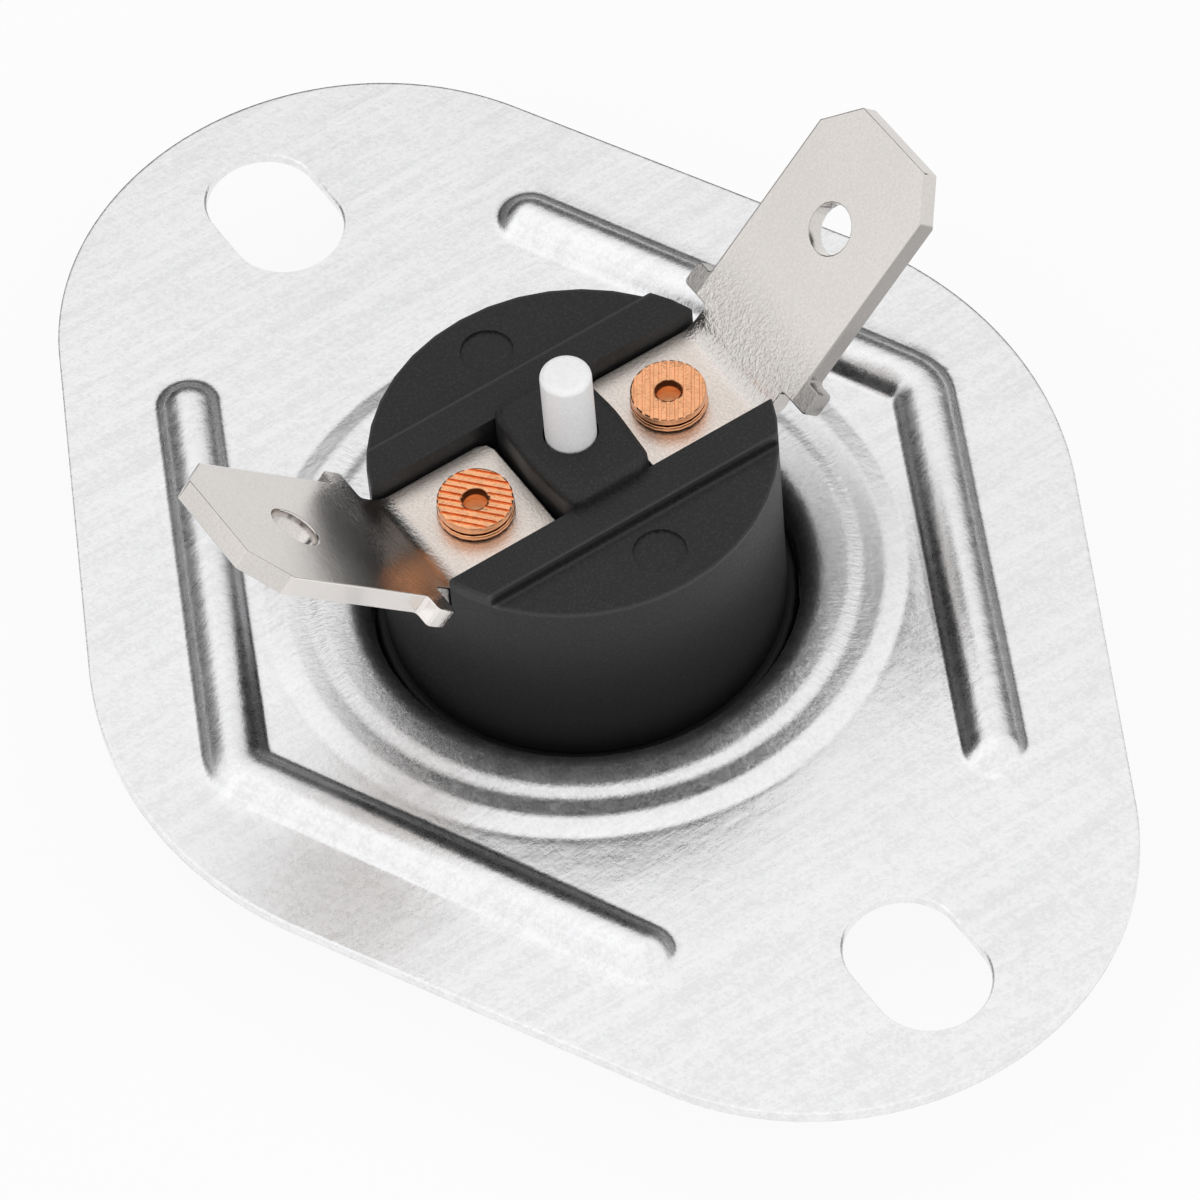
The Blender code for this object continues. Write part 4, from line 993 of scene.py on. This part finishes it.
def sky_level(tree, direction, near, far):
    """Level of the sky from near, (cosine, level) off a direction, to far, nearer to it."""
    coordinates = tree.nodes.new("ShaderNodeTexCoord")
    facing = tree.nodes.new("ShaderNodeVectorMath")
    facing.operation = 'DOT_PRODUCT'
    facing.inputs[1].default_value = Vector(direction).normalized()
    level = tree.nodes.new("ShaderNodeMapRange")
    level.interpolation_type = 'SMOOTHSTEP'
    level.inputs["From Min"].default_value, level.inputs["To Min"].default_value = near
    level.inputs["From Max"].default_value, level.inputs["To Max"].default_value = far
    tree.links.new(coordinates.outputs["Generated"], facing.inputs[0])
    tree.links.new(facing.outputs["Value"], level.inputs["Value"])
    return level.outputs[0]


def studio_world():
    """Bright all round, apart from the low side behind the switch and a dark card at its back left."""
    world = bpy.data.worlds.new("studio")
    bpy.context.scene.world = world
    world.use_nodes = True
    tree = world.node_tree
    bright_side = sky_level(tree, (0.50, -0.30, 0.80), (-0.16, 0.08), (0.16, 1.0))
    dark_card = sky_level(tree, (-0.93, -0.33, 0.15), (0.80, 1.0), (0.92, 0.20))
    both = tree.nodes.new("ShaderNodeMath")
    both.operation = 'MULTIPLY'
    tree.links.new(bright_side, both.inputs[0])
    tree.links.new(dark_card, both.inputs[1])
    tree.links.new(both.outputs[0], tree.nodes["Background"].inputs["Color"])


def floor_material(paint):
    """Matt pale paint, lifted towards white where it is seen or mirrored, which keeps its shadow."""
    lift = 0.86
    nodes = Nodes("floor_paint")
    material = nodes.surface(paint, 0.8)
    camera, glossy, transmission = [
        nodes.add("ShaderNodeLightPath", output="Is %s Ray" % kind)
        for kind in ("Camera", "Glossy", "Transmission")]
    seen = camera + glossy + transmission
    seen = seen.math('MINIMUM', seen, 1.0)
    white = nodes.add("ShaderNodeEmission", values={"Color": (1.0, 1.0, 1.0, 1.0), "Strength": 1.0})
    mixed = nodes.add("ShaderNodeMixShader", values={
        0: seen * lift, 1: Value(nodes, nodes.shader.outputs["BSDF"]), 2: white})
    nodes.tree.links.new(mixed.output, nodes.tree.nodes["Material Output"].inputs["Surface"])
    return material


class SWITCH_OT_studio(bpy.types.Operator):
    """Set up the floor, the lamps and the camera"""
    bl_idname = "switch.studio"
    bl_label = "Studio"

    def execute(self, context):
        studio = context.scene.switch_studio
        scene = context.scene
        bm = bmesh.new()
        bmesh.ops.create_circle(bm, cap_ends=True, segments=96, radius=studio.floor_radius)
        bmesh.ops.translate(bm, verts=bm.verts[:], vec=(0.0, 0.0, CAD_BOX[0][2] - FLOOR_GAP))
        mesh = bpy.data.meshes.new("floor")
        bm.to_mesh(mesh)
        bm.free()
        mesh.materials.append(floor_material(tuple(studio.floor)))
        floor = bpy.data.objects.new("floor", mesh)
        scene.collection.objects.link(floor)

        studio_world()
        add_lamp("left_softbox", (-0.26, -0.40, 0.24), (0.0, 0.0, 0.01), 0.60, 0.36, 0.10)
        add_lamp("top_softbox", (-0.16, -0.10, 0.50), (0.0, 0.0, 0.0), 0.50, 0.50, 0.07)
        camera_data = bpy.data.cameras.new("camera")
        camera_data.sensor_width = 36.0
        camera_data.lens = studio.lens
        camera = bpy.data.objects.new("camera", camera_data)
        scene.collection.objects.link(camera)
        turn = Matrix.Rotation(studio.azimuth, 3, 'Z')
        tilt = Matrix.Rotation(math.pi / 2.0 - studio.elevation, 3, 'X')
        roll = Matrix.Rotation(studio.roll, 3, 'Z')
        camera.location = studio.camera
        camera.rotation_euler = (turn @ tilt @ roll).to_euler()
        scene.camera = camera
        scene.view_settings.view_transform = 'Standard'
        return {'FINISHED'}


class SWITCH_PT_finish(bpy.types.Panel):
    """Lists the steps that finish the switch"""
    bl_idname = "SWITCH_PT_finish"
    bl_label = "Rollout limit switch"
    bl_space_type = 'VIEW_3D'
    bl_region_type = 'UI'
    bl_category = "Switch"

    def draw(self, context):
        for attribute, _, operators in STEPS:
            settings = getattr(context.scene, attribute)
            box = self.layout.box()
            for name in settings.__annotations__:
                box.prop(settings, name)
            for operator in operators:
                box.operator(operator.bl_idname)


STEPS = (
    ("switch_flange", FlangeSettings, (SWITCH_OT_flange,)),
    ("switch_body", BodySettings, (SWITCH_OT_body,)),
    ("switch_terminal", TerminalSettings, (SWITCH_OT_terminals,)),
    ("switch_rivet", RivetSettings, (SWITCH_OT_rivets,)),
    ("switch_pin", PinSettings, (SWITCH_OT_pin,)),
    ("switch_inside", InsideSettings, (SWITCH_OT_inside,)),
    ("switch_studio", StudioSettings, (SWITCH_OT_studio,)),
)


def register():
    for attribute, settings, operators in STEPS:
        bpy.utils.register_class(settings)
        setattr(bpy.types.Scene, attribute, bpy.props.PointerProperty(type=settings))
        for operator in operators:
            bpy.utils.register_class(operator)
    bpy.utils.register_class(SWITCH_PT_finish)


def unregister():
    bpy.utils.unregister_class(SWITCH_PT_finish)
    for attribute, settings, operators in reversed(STEPS):
        for operator in reversed(operators):
            bpy.utils.unregister_class(operator)
        delattr(bpy.types.Scene, attribute)
        bpy.utils.unregister_class(settings)


def main():
    register()
    bpy.ops.switch.flange()
    bpy.ops.switch.body()
    bpy.ops.switch.terminals()
    bpy.ops.switch.rivets()
    bpy.ops.switch.pin()
    bpy.ops.switch.inside()
    bpy.ops.switch.studio()


if __name__ == "__main__":
    main()
